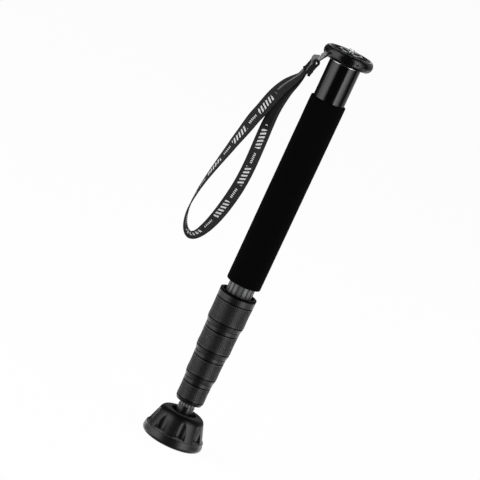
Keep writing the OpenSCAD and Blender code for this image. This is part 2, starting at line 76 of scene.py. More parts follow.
class Val:
    """One socket of a node tree that takes part in sums."""

    def __init__(self, tree: Tree, socket: bpy.types.NodeSocket | None) -> None:
        """Keep the tree and the socket."""
        self.tree = tree
        self.socket = socket

    def _math(self, operation: str, *others: Any) -> Val:
        """Add a Math node on this value.

        Args:
            operation: Name of the Math node's operation.
            others: Further values, numbers or sockets.

        Returns:
            The node's result.
        """
        names = ("Value", "Value_001", "Value_002")
        return self.tree.node("ShaderNodeMath", {"operation": operation}, dict(zip(names, (self, *others))))

    def __add__(self, other: Any) -> Val:
        """Sum."""
        return self._math("ADD", other)

    __radd__ = __add__

    def __sub__(self, other: Any) -> Val:
        """Difference."""
        return self._math("SUBTRACT", other)

    def __rsub__(self, other: float) -> Val:
        """Difference from a number."""
        return self * -1.0 + other

    def __mul__(self, other: Any) -> Val:
        """Product."""
        return self._math("MULTIPLY", other)

    __rmul__ = __mul__

    def __truediv__(self, other: Any) -> Val:
        """Quotient."""
        return self._math("DIVIDE", other)

    def __mod__(self, other: float) -> Val:
        """Rest that is never negative."""
        return self._math("FLOORED_MODULO", other)

    def __pow__(self, other: float) -> Val:
        """Power."""
        return self._math("POWER", other)

    def __abs__(self) -> Val:
        """Size without sign."""
        return self._math("ABSOLUTE")

    def sin(self) -> Val:
        """Sine of an angle in radians."""
        return self._math("SINE")

    def cos(self) -> Val:
        """Cosine of an angle in radians."""
        return self._math("COSINE")

    def round(self) -> Val:
        """Nearest whole number."""
        return self._math("ROUND")

    def below(self, limit: Any) -> Val:
        """One where this is less than the limit, else nought."""
        return self._math("LESS_THAN", limit)

    def above(self, limit: Any) -> Val:
        """One where this is more than the limit, else nought."""
        return self._math("GREATER_THAN", limit)

    def most(self, other: Any) -> Val:
        """The larger of two."""
        return self._math("MAXIMUM", other)

    def angle_from(self, across: Val) -> Val:
        """Angle of the point (across, this) in radians."""
        return self._math("ARCTAN2", across)

    def ease(self, low: float, high: float) -> Val:
        """Smooth step from nought at low to one at high."""
        inputs = {"Value": self, "From Min": low, "From Max": high}
        return self.tree.node("ShaderNodeMapRange", {"interpolation_type": "SMOOTHSTEP"}, inputs)

    def wave(self, period: float) -> Val:
        """Sine from nought to one with a period."""
        return (self * (2 * math.pi / period)).sin() * 0.5 + 0.5

    def other(self, name: str) -> Val:
        """Another result of the same node."""
        return Val(self.tree, self.socket.node.outputs[name])


class Tree:
    """A node tree with one way to add nodes."""

    def __init__(self, tree: bpy.types.NodeTree) -> None:
        """Keep the tree."""
        self.tree = tree

    def find(self, kind: str) -> bpy.types.Node:
        """The first node of a type that is there already."""
        return next(n for n in self.tree.nodes if n.type == kind)

    def feed(self, socket: bpy.types.NodeSocket, value: Any) -> None:
        """Link a socket, or set it.

        Args:
            socket: The socket.
            value: A value to link, or what the socket is set to.
        """
        if isinstance(value, Val):
            self.tree.links.new(value.socket, socket)
        else:
            socket.default_value = value

    def node(
        self,
        kind: str,
        settings: dict[str, Any] | None = None,
        inputs: dict[str, Any] | None = None,
        out: str = "",
    ) -> Val:
        """Add a node.

        Args:
            kind: Blender's name of the node type.
            settings: Properties that are set first.
            inputs: Values or links by socket identifier.
            out: Identifier of the wanted result, or the first one.

        Returns:
            The wanted result, which is empty for a closing node.
        """
        made = self.tree.nodes.new(kind)
        for name, value in (settings or {}).items():
            setattr(made, name, value)
        sockets = {s.identifier: s for s in made.inputs}
        for name, value in (inputs or {}).items():
            self.feed(sockets[name], value)
        results = {s.identifier: s for s in made.outputs}
        return Val(self, results[out] if out else next(iter(results.values()), None))

    def vector(self, operation: str, first: Any, second: Any, out: str = "Vector") -> Val:
        """Vector Math on two vectors.

        Args:
            operation: Name of the operation.
            first: First vector.
            second: Second vector.
            out: Identifier of the wanted result.

        Returns:
            The node's result.
        """
        inputs = {"Vector": first, "Vector_001": second}
        return self.node("ShaderNodeVectorMath", {"operation": operation}, inputs, out)

    def parts(self, vector: Val) -> tuple[Val, Val, Val]:
        """The three numbers of a vector."""
        first = self.node("ShaderNodeSeparateXYZ", {}, {"Vector": vector})
        return first, first.other("Y"), first.other("Z")

    def join(self, x: Any, y: Any, z: Any) -> Val:
        """A vector from three numbers."""
        return self.node("ShaderNodeCombineXYZ", {}, {"X": x, "Y": y, "Z": z})


class Shade(Tree):
    """Node tree of one material with its surface shader."""

    def __init__(self, label: str) -> None:
        """Make the material.

        Args:
            label: Name of the material.
        """
        self.material = bpy.data.materials.new(label)
        self.material.use_nodes = True
        super().__init__(self.material.node_tree)
        self.surface = self.find("BSDF_PRINCIPLED")

    def place(self) -> Val:
        """Object coordinates in millimetres."""
        raw = self.node("ShaderNodeTexCoord", out="Object")
        return self.vector("MULTIPLY", raw, (1 / MM,) * 3)

    def weave_place(self) -> tuple[Val, Val]:
        """Place on a band, from its own map.

        Returns:
            Millimetres along and across.
        """
        raw = self.node("ShaderNodeUVMap", {"uv_map": "weave"})
        along, across, _ = self.parts(self.vector("MULTIPLY", raw, (1 / MM,) * 3))
        return along, across

    def cloud(self, at: Val, size: float, detail: float = 2.0, stretch: Tone = (1, 1, 1)) -> Val:
        """Soft noise from nought to one.

        Args:
            at: Place in millimetres.
            size: Size of a blot in millimetres.
            detail: Octaves of finer noise.
            stretch: How much longer a blot is along each axis.

        Returns:
            The noise.
        """
        scaled = self.vector("MULTIPLY", at, tuple(1 / (size * s) for s in stretch))
        return self.node("ShaderNodeTexNoise", {}, {"Vector": scaled, "Scale": 1.0, "Detail": detail})

    def cells(self, at: Val, size: float) -> Val:
        """Distance to the middle of the nearest cell, in cells."""
        scaled = self.vector("MULTIPLY", at, (1 / size,) * 3)
        return self.node("ShaderNodeTexVoronoi", {}, {"Vector": scaled, "Scale": 1.0})

    def blend(self, low: Any, high: Any, share: Val) -> Val:
        """Mix two colours.

        Args:
            low: Colour where the share is nought.
            high: Colour where the share is one.
            share: Part of the second colour.

        Returns:
            The mixed colour.
        """
        first, second = (c if isinstance(c, Val) else (*c, 1.0) for c in (low, high))
        inputs = {"Factor_Float": share, "A_Color": first, "B_Color": second}
        return self.node("ShaderNodeMix", {"data_type": "RGBA"}, inputs, "Result_Color")

    def relief(self, height: Val, depth: float, strength: float = 1.0, under: Val | None = None) -> Val:
        """Bump from a height.

        Args:
            height: Height from nought to one.
            depth: Depth of the relief in millimetres.
            strength: Share of the effect.
            under: Another relief below this one.

        Returns:
            The bent normal.
        """
        inputs: dict[str, Any] = {"Strength": strength, "Distance": depth * MM, "Height": height}
        if under is not None:
            inputs["Normal"] = under
        return self.node("ShaderNodeBump", {}, inputs)

    def lay_painted_shade(self, share: Val, tone: float) -> None:
        """Lay a dark grey diffuse over the surface as painted shade.

        Args:
            share: Part of the painted shade at each place.
            tone: Its tone.
        """
        under = Val(self, self.surface.outputs[0])
        over = self.node("ShaderNodeBsdfDiffuse", {}, {"Color": (tone, tone, tone, 1.0)})
        both = self.node("ShaderNodeMixShader", {}, {"Fac": share, "Shader": under, "Shader_001": over})
        self.feed(self.find("OUTPUT_MATERIAL").inputs["Surface"], both)

    def set(self, **sockets: Any) -> None:
        """Link or set sockets of the surface shader, with spaces as underlines in their names.

        Args:
            sockets: Values or links by socket name.
        """
        for name, value in sockets.items():
            self.feed(self.surface.inputs[name.replace("_", " ")], value)


@dataclass(frozen=True)
class Finish:
    """A finish that paints its own material."""

    label: str
    tone: Tone
    roughness: float

    def paint(self, s: Shade) -> None:
        """Paint the shader; each finish has its own way."""
        raise NotImplementedError

    def lighter(self, times: float) -> Tone:
        """The tone made lighter or darker."""
        return tuple(min(1.0, c * times) for c in self.tone)


@dataclass(frozen=True)
class GlossBlack(Finish):
    """Glossy black anodised tube with faint handling smears."""

    def paint(self, s: Shade) -> None:
        """Smooth dark metal under a clear layer.

        Args:
            s: The material's tree.
        """
        at = s.place()
        smear = s.cloud(at, 16, 3, (1, 1, 3))
        grain = s.cloud(at, 0.25, 1, (1, 1, 30))
        s.set(
            Base_Color=s.blend(self.tone, self.lighter(1.8), smear),
            Roughness=self.roughness + 0.07 * smear + 0.04 * grain,
            Normal=s.relief(grain, 0.004, 0.3),
            Specular_IOR_Level=0.5,
        )


@dataclass(frozen=True)
class ClosedFoam(Finish):
    """Fine closed-cell foam."""

    def paint(self, s: Shade) -> None:
        """Dull black with tiny cells and soft dents.

        Args:
            s: The material's tree.
        """
        at = s.place()
        pores = s.cells(at, 0.55)
        dents = s.cloud(at, 7, 3)
        lint = s.cloud(at, 1.1, 4).ease(0.6, 0.78)
        tone = s.blend(self.tone, self.lighter(2.2), pores.ease(0.1, 0.7))
        s.set(
            Base_Color=s.blend(tone, self.lighter(3.2), lint * 0.5),
            Roughness=self.roughness - 0.1 * dents,
            Normal=s.relief(pores, 0.16, 0.7, s.relief(dents, 0.25, 0.35)),
            Specular_IOR_Level=0.04,
        )


@dataclass(frozen=True)
class FlutedMetal(Finish):
    """Satin metal tube with painted shade in its flutes, faint stains, and lines drawn along it."""

    flutes: int = 16

    def paint(self, s: Shade) -> None:
        """Drawn lines along the tube, painted shade in the flutes, and faint stains.

        Args:
            s: The material's tree.
        """
        at = s.place()
        x, y, _ = s.parts(at)
        flute = 0.5 - 0.5 * (y.angle_from(x) * float(self.flutes)).cos()
        lines = s.cloud(at, 0.22, 2, (1, 1, 60))
        stain = s.cloud(at, 9, 3, (1, 1, 2))
        tone = s.blend(self.lighter(0.82), self.lighter(1.15), lines)
        # Painted shade: the flutes are darkened to stand in for the shade in them, with a little stain mixed
        # in.
        flute_shade_and_stain = flute.ease(0.4, 0.95) * 0.85 + stain.ease(0.6, 0.9) * 0.15
        painted_shade = s.blend(tone, self.lighter(0.3), flute_shade_and_stain)
        s.set(
            Base_Color=painted_shade,
            Metallic=1.0,
            Roughness=self.roughness + 0.14 * lines + 0.1 * stain,
            Normal=s.relief(lines, 0.01, 0.35),
        )


@dataclass(frozen=True)
class SatinBlack(Finish):
    """Satin black moulding or casting with a fine grain."""

    grain: float = 0.35
    depth: float = 0.02
    gloss: float = 0.5
    bloom: float = 0.0

    def paint(self, s: Shade) -> None:
        """Even black with a fine grain, faint mottling and pale scuffs.

        Args:
            s: The material's tree.
        """
        at = s.place()
        fine = s.cloud(at, self.grain, 2)
        mottle = s.cloud(at, 6, 3)
        scuff = s.cloud(at, 1.6, 5, (3, 3, 0.6)).ease(0.66, 0.8)
        tone = s.blend(self.lighter(0.8), self.lighter(1.25), mottle)
        s.set(
            Base_Color=s.blend(tone, self.lighter(2.4), scuff * 0.4),
            Roughness=self.roughness + 0.12 * fine + 0.08 * mottle,
            Normal=s.relief(fine, self.depth, 0.6),
            Specular_IOR_Level=self.gloss,
            Sheen_Weight=self.bloom,
            Sheen_Roughness=0.3,
        )


@dataclass(frozen=True)
class MouldedPad(Finish):
    """Dull black pad with painted shade in its recessed windows."""

    floor: float = 396.8

    def paint(self, s: Shade) -> None:
        """Fine wiping marks and dust, with painted shade in place of the dust in the recessed windows.

        Args:
            s: The material's tree.
        """
        at = s.place()
        _, _, z = s.parts(at)
        # Painted shade: the recessed windows are darkened to stand in for the shade inside them, and made
        # rougher.
        shaded_windows = z.below(self.floor)
        wipe = s.cloud(at, 2.5, 4, (1, 4, 1))
        dust = s.cloud(at, 0.5, 3).ease(0.62, 0.8)
        tone = s.blend(self.tone, self.lighter(3.0), dust * 0.4)
        s.set(
            Base_Color=s.blend(tone, self.lighter(0.1), shaded_windows),
            Roughness=self.roughness + 0.08 * wipe + shaded_windows * 0.35,
            Normal=s.relief(wipe, 0.006, 0.3),
            Specular_IOR_Level=0.5,
        )


@dataclass(frozen=True)
class TurnedMetal(Finish):
    """Bright turned metal with rings round the leg's axis."""

    def paint(self, s: Shade) -> None:
        """Rings of the lathe and a little tarnish.

        Args:
            s: The material's tree.
        """
        at = s.place()
        x, y, z = s.parts(at)
        out = (x * x + y * y) ** 0.5
        rings = s.cloud(s.join(out * 7.0, z * 7.0, 0.0), 1.0, 3)
        tarnish = s.cloud(at, 3, 3).ease(0.45, 0.8)
        s.set(
            Base_Color=s.blend(self.tone, self.lighter(0.6), tarnish * 0.5),
            Metallic=1.0,
            Roughness=self.roughness + 0.12 * rings + 0.1 * tarnish,
            Normal=s.relief(rings, 0.012, 0.4),
        )


@dataclass(frozen=True)
class MouldedNylon(Finish):
    """Moulded nylon of the parts inside."""

    def paint(self, s: Shade) -> None:
        """Faint flow marks and a waxy sheen.

        Args:
            s: The material's tree.
        """
        at = s.place()
        flow = s.cloud(at, 4, 3, (1, 1, 2.5))
        fine = s.cloud(at, 0.3, 2)
        s.set(
            Base_Color=s.blend(self.lighter(0.86), self.lighter(1.08), flow),
            Roughness=self.roughness + 0.12 * flow,
            Normal=s.relief(fine, 0.015, 0.5),
        )


@dataclass(frozen=True)
class SoleRubber(Finish):
    """Moulded rubber of the foot with dust low down and painted shade over its top."""

    painted_shade_heights: tuple[float, float] = (24.0, 28.0)

    def paint(self, s: Shade) -> None:
        """Dark rubber, a fine grain, dust towards the floor, and painted shade over the top.

        Args:
            s: The material's tree.
        """
        at = s.place()
        _, _, z = s.parts(at)
        fine = s.cloud(at, 0.4, 2)
        mottle = s.cloud(at, 5, 4)
        flow = s.cloud(at, 1.2, 3, (1, 1, 8))
        dust = (1 - z.ease(0.2, 3.2)) * mottle.ease(0.35, 0.7)
        tone = s.blend(self.lighter(0.75), self.lighter(1.3), mottle * 0.6 + flow * 0.4)
        s.set(
            Base_Color=s.blend(tone, (0.05, 0.049, 0.047), dust * 0.6),
            Roughness=self.roughness + 0.1 * mottle + 0.1 * dust,
            Normal=s.relief(fine, 0.02, 0.5, s.relief(flow, 0.05, 0.25)),
            Specular_IOR_Level=0.42,
            Sheen_Weight=0.7,
            Sheen_Roughness=0.3,
        )
        # Painted shade: the top of the foot is covered by a dark diffuse, standing in for the shade there.
        s.lay_painted_shade(z.ease(*self.painted_shade_heights) * 0.75, 0.002)


@dataclass(frozen=True)
class WovenBand(Finish):
    """Woven webbing with pale slanted bars and dashes along its middle."""

    motif: tuple[float, float] = (34.0, 322.0)
    width: float = 12.0
    repeat: float = 37.0

    def paint(self, s: Shade) -> None:
        """Ribbed weave, firm edges, the woven-in bars, and painted shade on one side near the strap's end.

        Args:
            s: The material's tree.
        """
        along, across = s.weave_place()
        bend = (across * (2 * math.pi / 0.9)).sin() * 0.9
        ribs = (along * (2 * math.pi / 0.62) + bend).sin() * 0.5 + 0.5
        warp = across.wave(0.75)
        edge = abs(across).ease(self.width / 2 - 1.1, self.width / 2 - 0.3)
        wear = s.cloud(s.join(along, across, 0.0), 5, 4)
        fuzz = s.cloud(s.join(along, across, 0.0), 0.5, 3)
        cell = (along / self.repeat) % 1.0
        bar = ((along + across * 0.45) / 3.5 % 1.0).below(0.5)
        bars = bar * abs(across).below(2.5) * cell.above(0.05) * cell.below(0.56)
        dash = (along / 1.75 % 1.0).below(0.55)
        dashes = dash * abs(across).below(1.0) * cell.above(0.66) * cell.below(0.93)
        first, last = self.motif
        marked = float(last > first)
        marks = bars.most(dashes) * along.above(first) * along.below(last)
        line = abs(across - 1.3).below(0.6) * along.below(first - 3.0) * (0.2 * marked)
        pale = marks.most(line) * (0.8 + 0.2 * ribs)
        tone = s.blend(self.lighter(0.6), self.lighter(1.35), ribs * 0.6 + wear * 0.4)
        # Painted shade: near the strap's end one side of the webbing is darkened, standing in for the shadow
        # that the other limb casts on it.
        painted_shade = across.ease(-4.4, -3.2) * along.ease(last - 22.0, last + 6.0) * (0.9 * marked)
        sides = s.blend(s.blend(tone, self.lighter(0.6), edge * 0.7), self.lighter(0.1), painted_shade)
        s.set(
            Base_Color=s.blend(sides, (0.82, 0.82, 0.83), pale),
            Roughness=self.roughness + 0.1 * fuzz,
            Normal=s.relief(ribs * 0.7 + warp * 0.3, 0.1, 0.7, s.relief(fuzz, 0.08, 0.4)),
            Specular_IOR_Level=0.2,
            Sheen_Weight=0.06,
            Sheen_Roughness=0.4,
        )


@dataclass(frozen=True)
class PlainTape(Finish):
    """Plain woven tape or thread."""

    def paint(self, s: Shade) -> None:
        """Fine crossing threads.

        Args:
            s: The material's tree.
        """
        along, across = s.weave_place()
        weft = along.wave(0.5)
        warp = across.wave(0.45)
        fuzz = s.cloud(s.join(along, across, 0.0), 1.5, 4)
        s.set(
            Base_Color=s.blend(self.lighter(0.72), self.lighter(1.1), weft * 0.5 + fuzz * 0.5),
            Roughness=self.roughness + 0.1 * fuzz,
            Normal=s.relief(weft * 0.5 + warp * 0.5, 0.07, 0.6),
            Specular_IOR_Level=0.3,
            Sheen_Weight=0.2,
        )


class Look(Enum):
    """The finishes of this monopod."""

    TUBE = GlossBlack("gloss black tube", (0.0012, 0.0012, 0.0014), 0.1)
    FERRULE = GlossBlack("black ferrule", (0.003, 0.003, 0.0032), 0.24)
    FOAM = ClosedFoam("black foam", (0.0009, 0.0009, 0.001), 0.95)
    FLUTED = FlutedMetal("grey fluted tube", (0.2, 0.201, 0.203), 0.5)
    PALE = FlutedMetal("pale fluted tube", (0.235, 0.237, 0.24), 0.58)
    PLATE = SatinBlack("black plate", (0.002, 0.002, 0.0021), 0.11, grain=0.3, depth=0.015)
    PAD = MouldedPad("moulded pad", (0.006, 0.006, 0.0063), 0.5)
    BRIGHT = TurnedMetal("bright plating", (0.7, 0.705, 0.71), 0.14)
    ALLOY = TurnedMetal("turned alloy", (0.8, 0.81, 0.82), 0.2)
    STEEL = TurnedMetal("turned steel", (0.3, 0.303, 0.306), 0.26)
    COLLAR = SatinBlack("satin black collar", (0.004, 0.004, 0.0042), 0.27, gloss=0.42, bloom=0.35)
    GRIP = SatinBlack(
        "grip rubber", (0.005, 0.005, 0.0052), 0.3, grain=0.25, depth=0.015, gloss=0.48, bloom=0.7
    )
    # Painted shade: a near-black dull finish for the rings at the grip ends, the black sheet in the cup and
    # the screw's flange, standing in for the shade and dark reflection there.
    SHADE_BLACK = SatinBlack("painted shade black", (0.0008, 0.0008, 0.0008), 0.55, grain=0.3, depth=0.01, gloss=0.04)
    SOLE = SoleRubber("foot rubber", (0.005, 0.005, 0.0052), 0.27)
    NYLON = MouldedNylon("natural nylon", (0.74, 0.72, 0.66), 0.42)
    SLEEVE = MouldedNylon("blue nylon", (0.12, 0.24, 0.45), 0.42)
    WEBBING = WovenBand("strap webbing", (0.022, 0.022, 0.0235), 0.75)
    # Painted light: a lighter copy of the webbing for the knot's fold, standing in for the light that the
    # fold catches.
    PAINTED_LIGHT_FOLD = WovenBand("pale folded webbing", (0.22, 0.22, 0.226), 0.75, motif=(0.0, 0.0), width=6.4)
    # Painted shade: a darker copy of the webbing for the knot's arch, back and end pieces and the wrap,
    # standing in for the shade inside the knot.
    PAINTED_SHADE_KNOT = WovenBand("dark knot webbing", (0.007, 0.007, 0.0074), 0.7, motif=(0.0, 0.0), width=4.6)
    TETHER = PlainTape("tether tape", (0.5, 0.5, 0.51), 0.7)
    # The tether's front leg, drawn dark.
    DARK_LEG = SatinBlack("dark tether leg", (0.004, 0.004, 0.0042), 0.6, grain=0.2, depth=0.03, gloss=0.12)
    THREAD = SatinBlack("dark sewing thread", (0.012, 0.012, 0.0125), 0.6, grain=0.15, depth=0.03)

    @lru_cache(maxsize=None)
    def material(self) -> bpy.types.Material:
        """The finish's material, made once.

        Returns:
            The material, the same one each time.
        """
        shade = Shade(self.value.label)
        self.value.paint(shade)
        return shade.material


def box_mm(node: str) -> tuple[Vector, Vector]:
    """Lowest and highest corner of a CAD node in millimetres."""
    low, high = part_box(node)
    return low / MM, high / MM


def linked(name: str, data: bpy.types.ID) -> bpy.types.Object:
    """Put a new object into the scene.

    Args:
        name: Its name.
        data: Its mesh, light or camera.

    Returns:
        The object.
    """
    made = bpy.data.objects.new(name, data)
    bpy.context.scene.collection.objects.link(made)
    return made


def standing(place: Vector, across: Vector, up: Vector, back: Vector) -> Matrix:
    """Matrix of what stands at a place with these three axes."""
    return Matrix.Translation(place) @ Matrix((across, up, back)).transposed().to_4x4()


def new_piece(
    name: str, mesh: bpy.types.Mesh, look: Look | None = None, smooth: bool = True
) -> bpy.types.Object:
    """Put a finished mesh into the scene.

    Args:
        name: Name of the piece.
        mesh: Its mesh, in metres.
        look: Its finish, unless the mesh has one already.
        smooth: Whether its faces are shaded smooth.

    Returns:
        The piece's object.
    """
    mesh.name = name
    if look is not None:
        mesh.materials.clear()
        mesh.materials.append(look.material())
    mesh.polygons.foreach_set("use_smooth", [smooth] * len(mesh.polygons))
    return linked(name, mesh)


def closed_mesh(points: Sequence[Vector], faces: Sequence[Sequence[int]], name: str) -> bpy.types.Mesh:
    """Mesh from points in millimetres with its faces turned outwards.

    Args:
        points: Corners.
        faces: Corner numbers of each face.
        name: Name of the mesh.

    Returns:
        The mesh in metres.
    """
    mesh = bpy.data.meshes.new(name)
    mesh.from_pydata([Vector(p) * MM for p in points], [], faces)
    work = bmesh.new()
    work.from_mesh(mesh)
    bmesh.ops.recalc_face_normals(work, faces=work.faces)
    work.to_mesh(mesh)
    work.free()
    mesh.validate()
    return mesh


def turned(profile: Profile, around: int, bend: Bend | None = None) -> tuple[list[Vector], list[list[int]]]:
    """Turn a closed profile round the leg's axis.

    Args:
        profile: Corners as (radius, height), in order round the profile.
        around: Steps round the axis.
        bend: Optional change of the radius from (radius, height, angle).

    Returns:
        Points and faces of the ring-shaped skin.
    """
    points, faces = [], []
    rows = len(profile)
    for i in range(around):
        angle = 2 * math.pi * i / around
        for radius, height in profile:
            r = bend(radius, height, angle) if bend else radius
            points.append(Vector((r * math.cos(angle), r * math.sin(angle), height)))
    for i in range(around):
        for k in range(rows):
            a, b = i * rows, (i + 1) % around * rows
            faces.append([a + k, b + k, b + (k + 1) % rows, a + (k + 1) % rows])
    return points, faces


def turned_piece(
    name: str, look: Look, profiles: Sequence[Profile], around: int = STEPS, bend: Bend | None = None
) -> bpy.types.Object:
    """A piece of closed profiles turned round the leg's axis.

    Args:
        name: Name of the piece.
        look: Its finish.
        profiles: Profiles as for one turned skin.
        around: Steps round the axis.
        bend: Optional change of the radius.

    Returns:
        The piece.
    """
    points, faces = [], []
    for profile in profiles:
        ring, skin = turned(profile, around, bend)
        faces += [[corner + len(points) for corner in face] for face in skin]
        points += ring
    return new_piece(name, closed_mesh(points, faces, name), look)


def smooth_rows(rows: Rows, step: float) -> list[list[float]]:
    """Points on a smooth curve through rows of numbers whose first three are a place.

    Args:
        rows: The rows.
        step: Wanted spacing in millimetres.

    Returns:
        More rows of the same kind.
    """
    stops = [0.0]
    for a, b in zip(rows, rows[1:]):
        stops.append(stops[-1] + math.dist(a[:3], b[:3]))
    last = len(rows) - 1

    def slope(i: int) -> list[float]:
        """Change of each number per millimetre at a row."""
        lo, hi = max(0, i - 1), min(last, i + 1)
        return [(q - p) / (stops[hi] - stops[lo]) for p, q in zip(rows[lo], rows[hi])]

    slopes = [slope(i) for i in range(last + 1)]
    made = []
    for i in range(last):
        span = stops[i + 1] - stops[i]
        count = max(1, round(span / step))
        for k in range(count):
            t = k / count
            pulls = (
                2 * t**3 - 3 * t**2 + 1,
                (t**3 - 2 * t**2 + t) * span,
                3 * t**2 - 2 * t**3,
                (t**3 - t**2) * span,
            )
            values = zip(rows[i], slopes[i], rows[i + 1], slopes[i + 1])
            made.append([sum(w * v for w, v in zip(pulls, four)) for four in values])
    made.append(list(rows[last]))
    return made


def headings(rows: Rows) -> list[Vector]:
    """Ways along a line of rows whose first three numbers are a place.

    Args:
        rows: The rows.

    Returns:
        A unit vector for each row.
    """
    places = [Vector(row[:3]) for row in rows]
    last = len(rows) - 1
    return [(places[min(last, i + 1)] - places[max(0, i - 1)]).normalized() for i in range(last + 1)]


@dataclass(frozen=True)
class Ring:
    """One place along a band: its middle, the way across it, the way out of its face, and its size."""

    centre: Vector
    side: Vector
    face: Vector
    width: float
    thick: float
    cup: float = 0.0


@dataclass(frozen=True)
class Band:
    """A flat woven band along rings."""

    rings: list[Ring]
    flat: int = 7
    edge: int = 5
    blunt: float = 0.8

    def section(self, ring: Ring) -> list[tuple[float, float]]:
        """Outline of the band across one ring.

        Args:
            ring: The ring.

        Returns:
            Places as (across, out of the face), in order round the band.
        """
        half, r = ring.width / 2, ring.thick / 2
        inner = half - r * self.blunt
        top = [(-inner + 2 * inner * k / (self.flat - 1), r) for k in range(self.flat)]
        nose = [math.pi / 2 - math.pi * k / (self.edge + 1) for k in range(1, self.edge + 1)]
        right = [(inner + self.blunt * r * math.cos(a), r * math.sin(a)) for a in nose]
        return [*top, *right, *((-a, -b) for a, b in top + right)]

    def mesh(self, name: str) -> bpy.types.Mesh:
        """The band's mesh, with millimetres along and across in its map.

        Args:
            name: Name of the mesh.

        Returns:
            The mesh in metres.
        """
        points, marks, run = [], [], 0.0
        for i, ring in enumerate(self.rings):
            if i:
                run += (ring.centre - self.rings[i - 1].centre).length
            for across, out in self.section(ring):
                dish = ring.cup * (1 - (2 * across / ring.width) ** 2)
                points.append(ring.centre + ring.side * across + ring.face * (out + dish))
                marks.append((run, across))
        n = len(points) // len(self.rings)
        faces = [
            [i * n + k, (i + 1) * n + k, (i + 1) * n + (k + 1) % n, i * n + (k + 1) % n]
            for i in range(len(self.rings) - 1)
            for k in range(n)
        ]
        last = (len(self.rings) - 1) * n
        half = n // 2
        for start in (0, last):
            for k in range(half - 1):
                faces.append([start + k, start + k + 1, start + n - 2 - k, start + n - 1 - k])
        mesh = closed_mesh(points, faces, name)
        chart = mesh.uv_layers.new(name="weave")
        for loop in mesh.loops:
            chart.data[loop.index].uv = [m * MM for m in marks[loop.vertex_index]]
        return mesh


class Assembly:
    """What every sub-assembly does with its nodes and pieces."""

    def dress(self, looks: dict[str, Look]) -> None:
        """Give CAD nodes their finishes.

        Args:
            looks: Finish of each node.
        """
        for name, look in looks.items():
            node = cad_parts[name]
            if not node.material_slots:
                node.data.materials.append(look.material())
            for slot in node.material_slots:
                slot.material = look.material()
            LOG.info("%s in %s", name, look.value.label)

    def seat(self, piece: bpy.types.Object, body: Body, slot: str, *nodes: str) -> None:
        """Put a new piece on its body.

        Args:
            piece: The piece.
            body: Body that it moves with.
            slot: The record's material slot; not used.
            nodes: CAD nodes that it stands for.
        """
        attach(piece, body.value)
        if nodes:
            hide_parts(*nodes)
        LOG.info("%s on %s", piece.name, body.value)


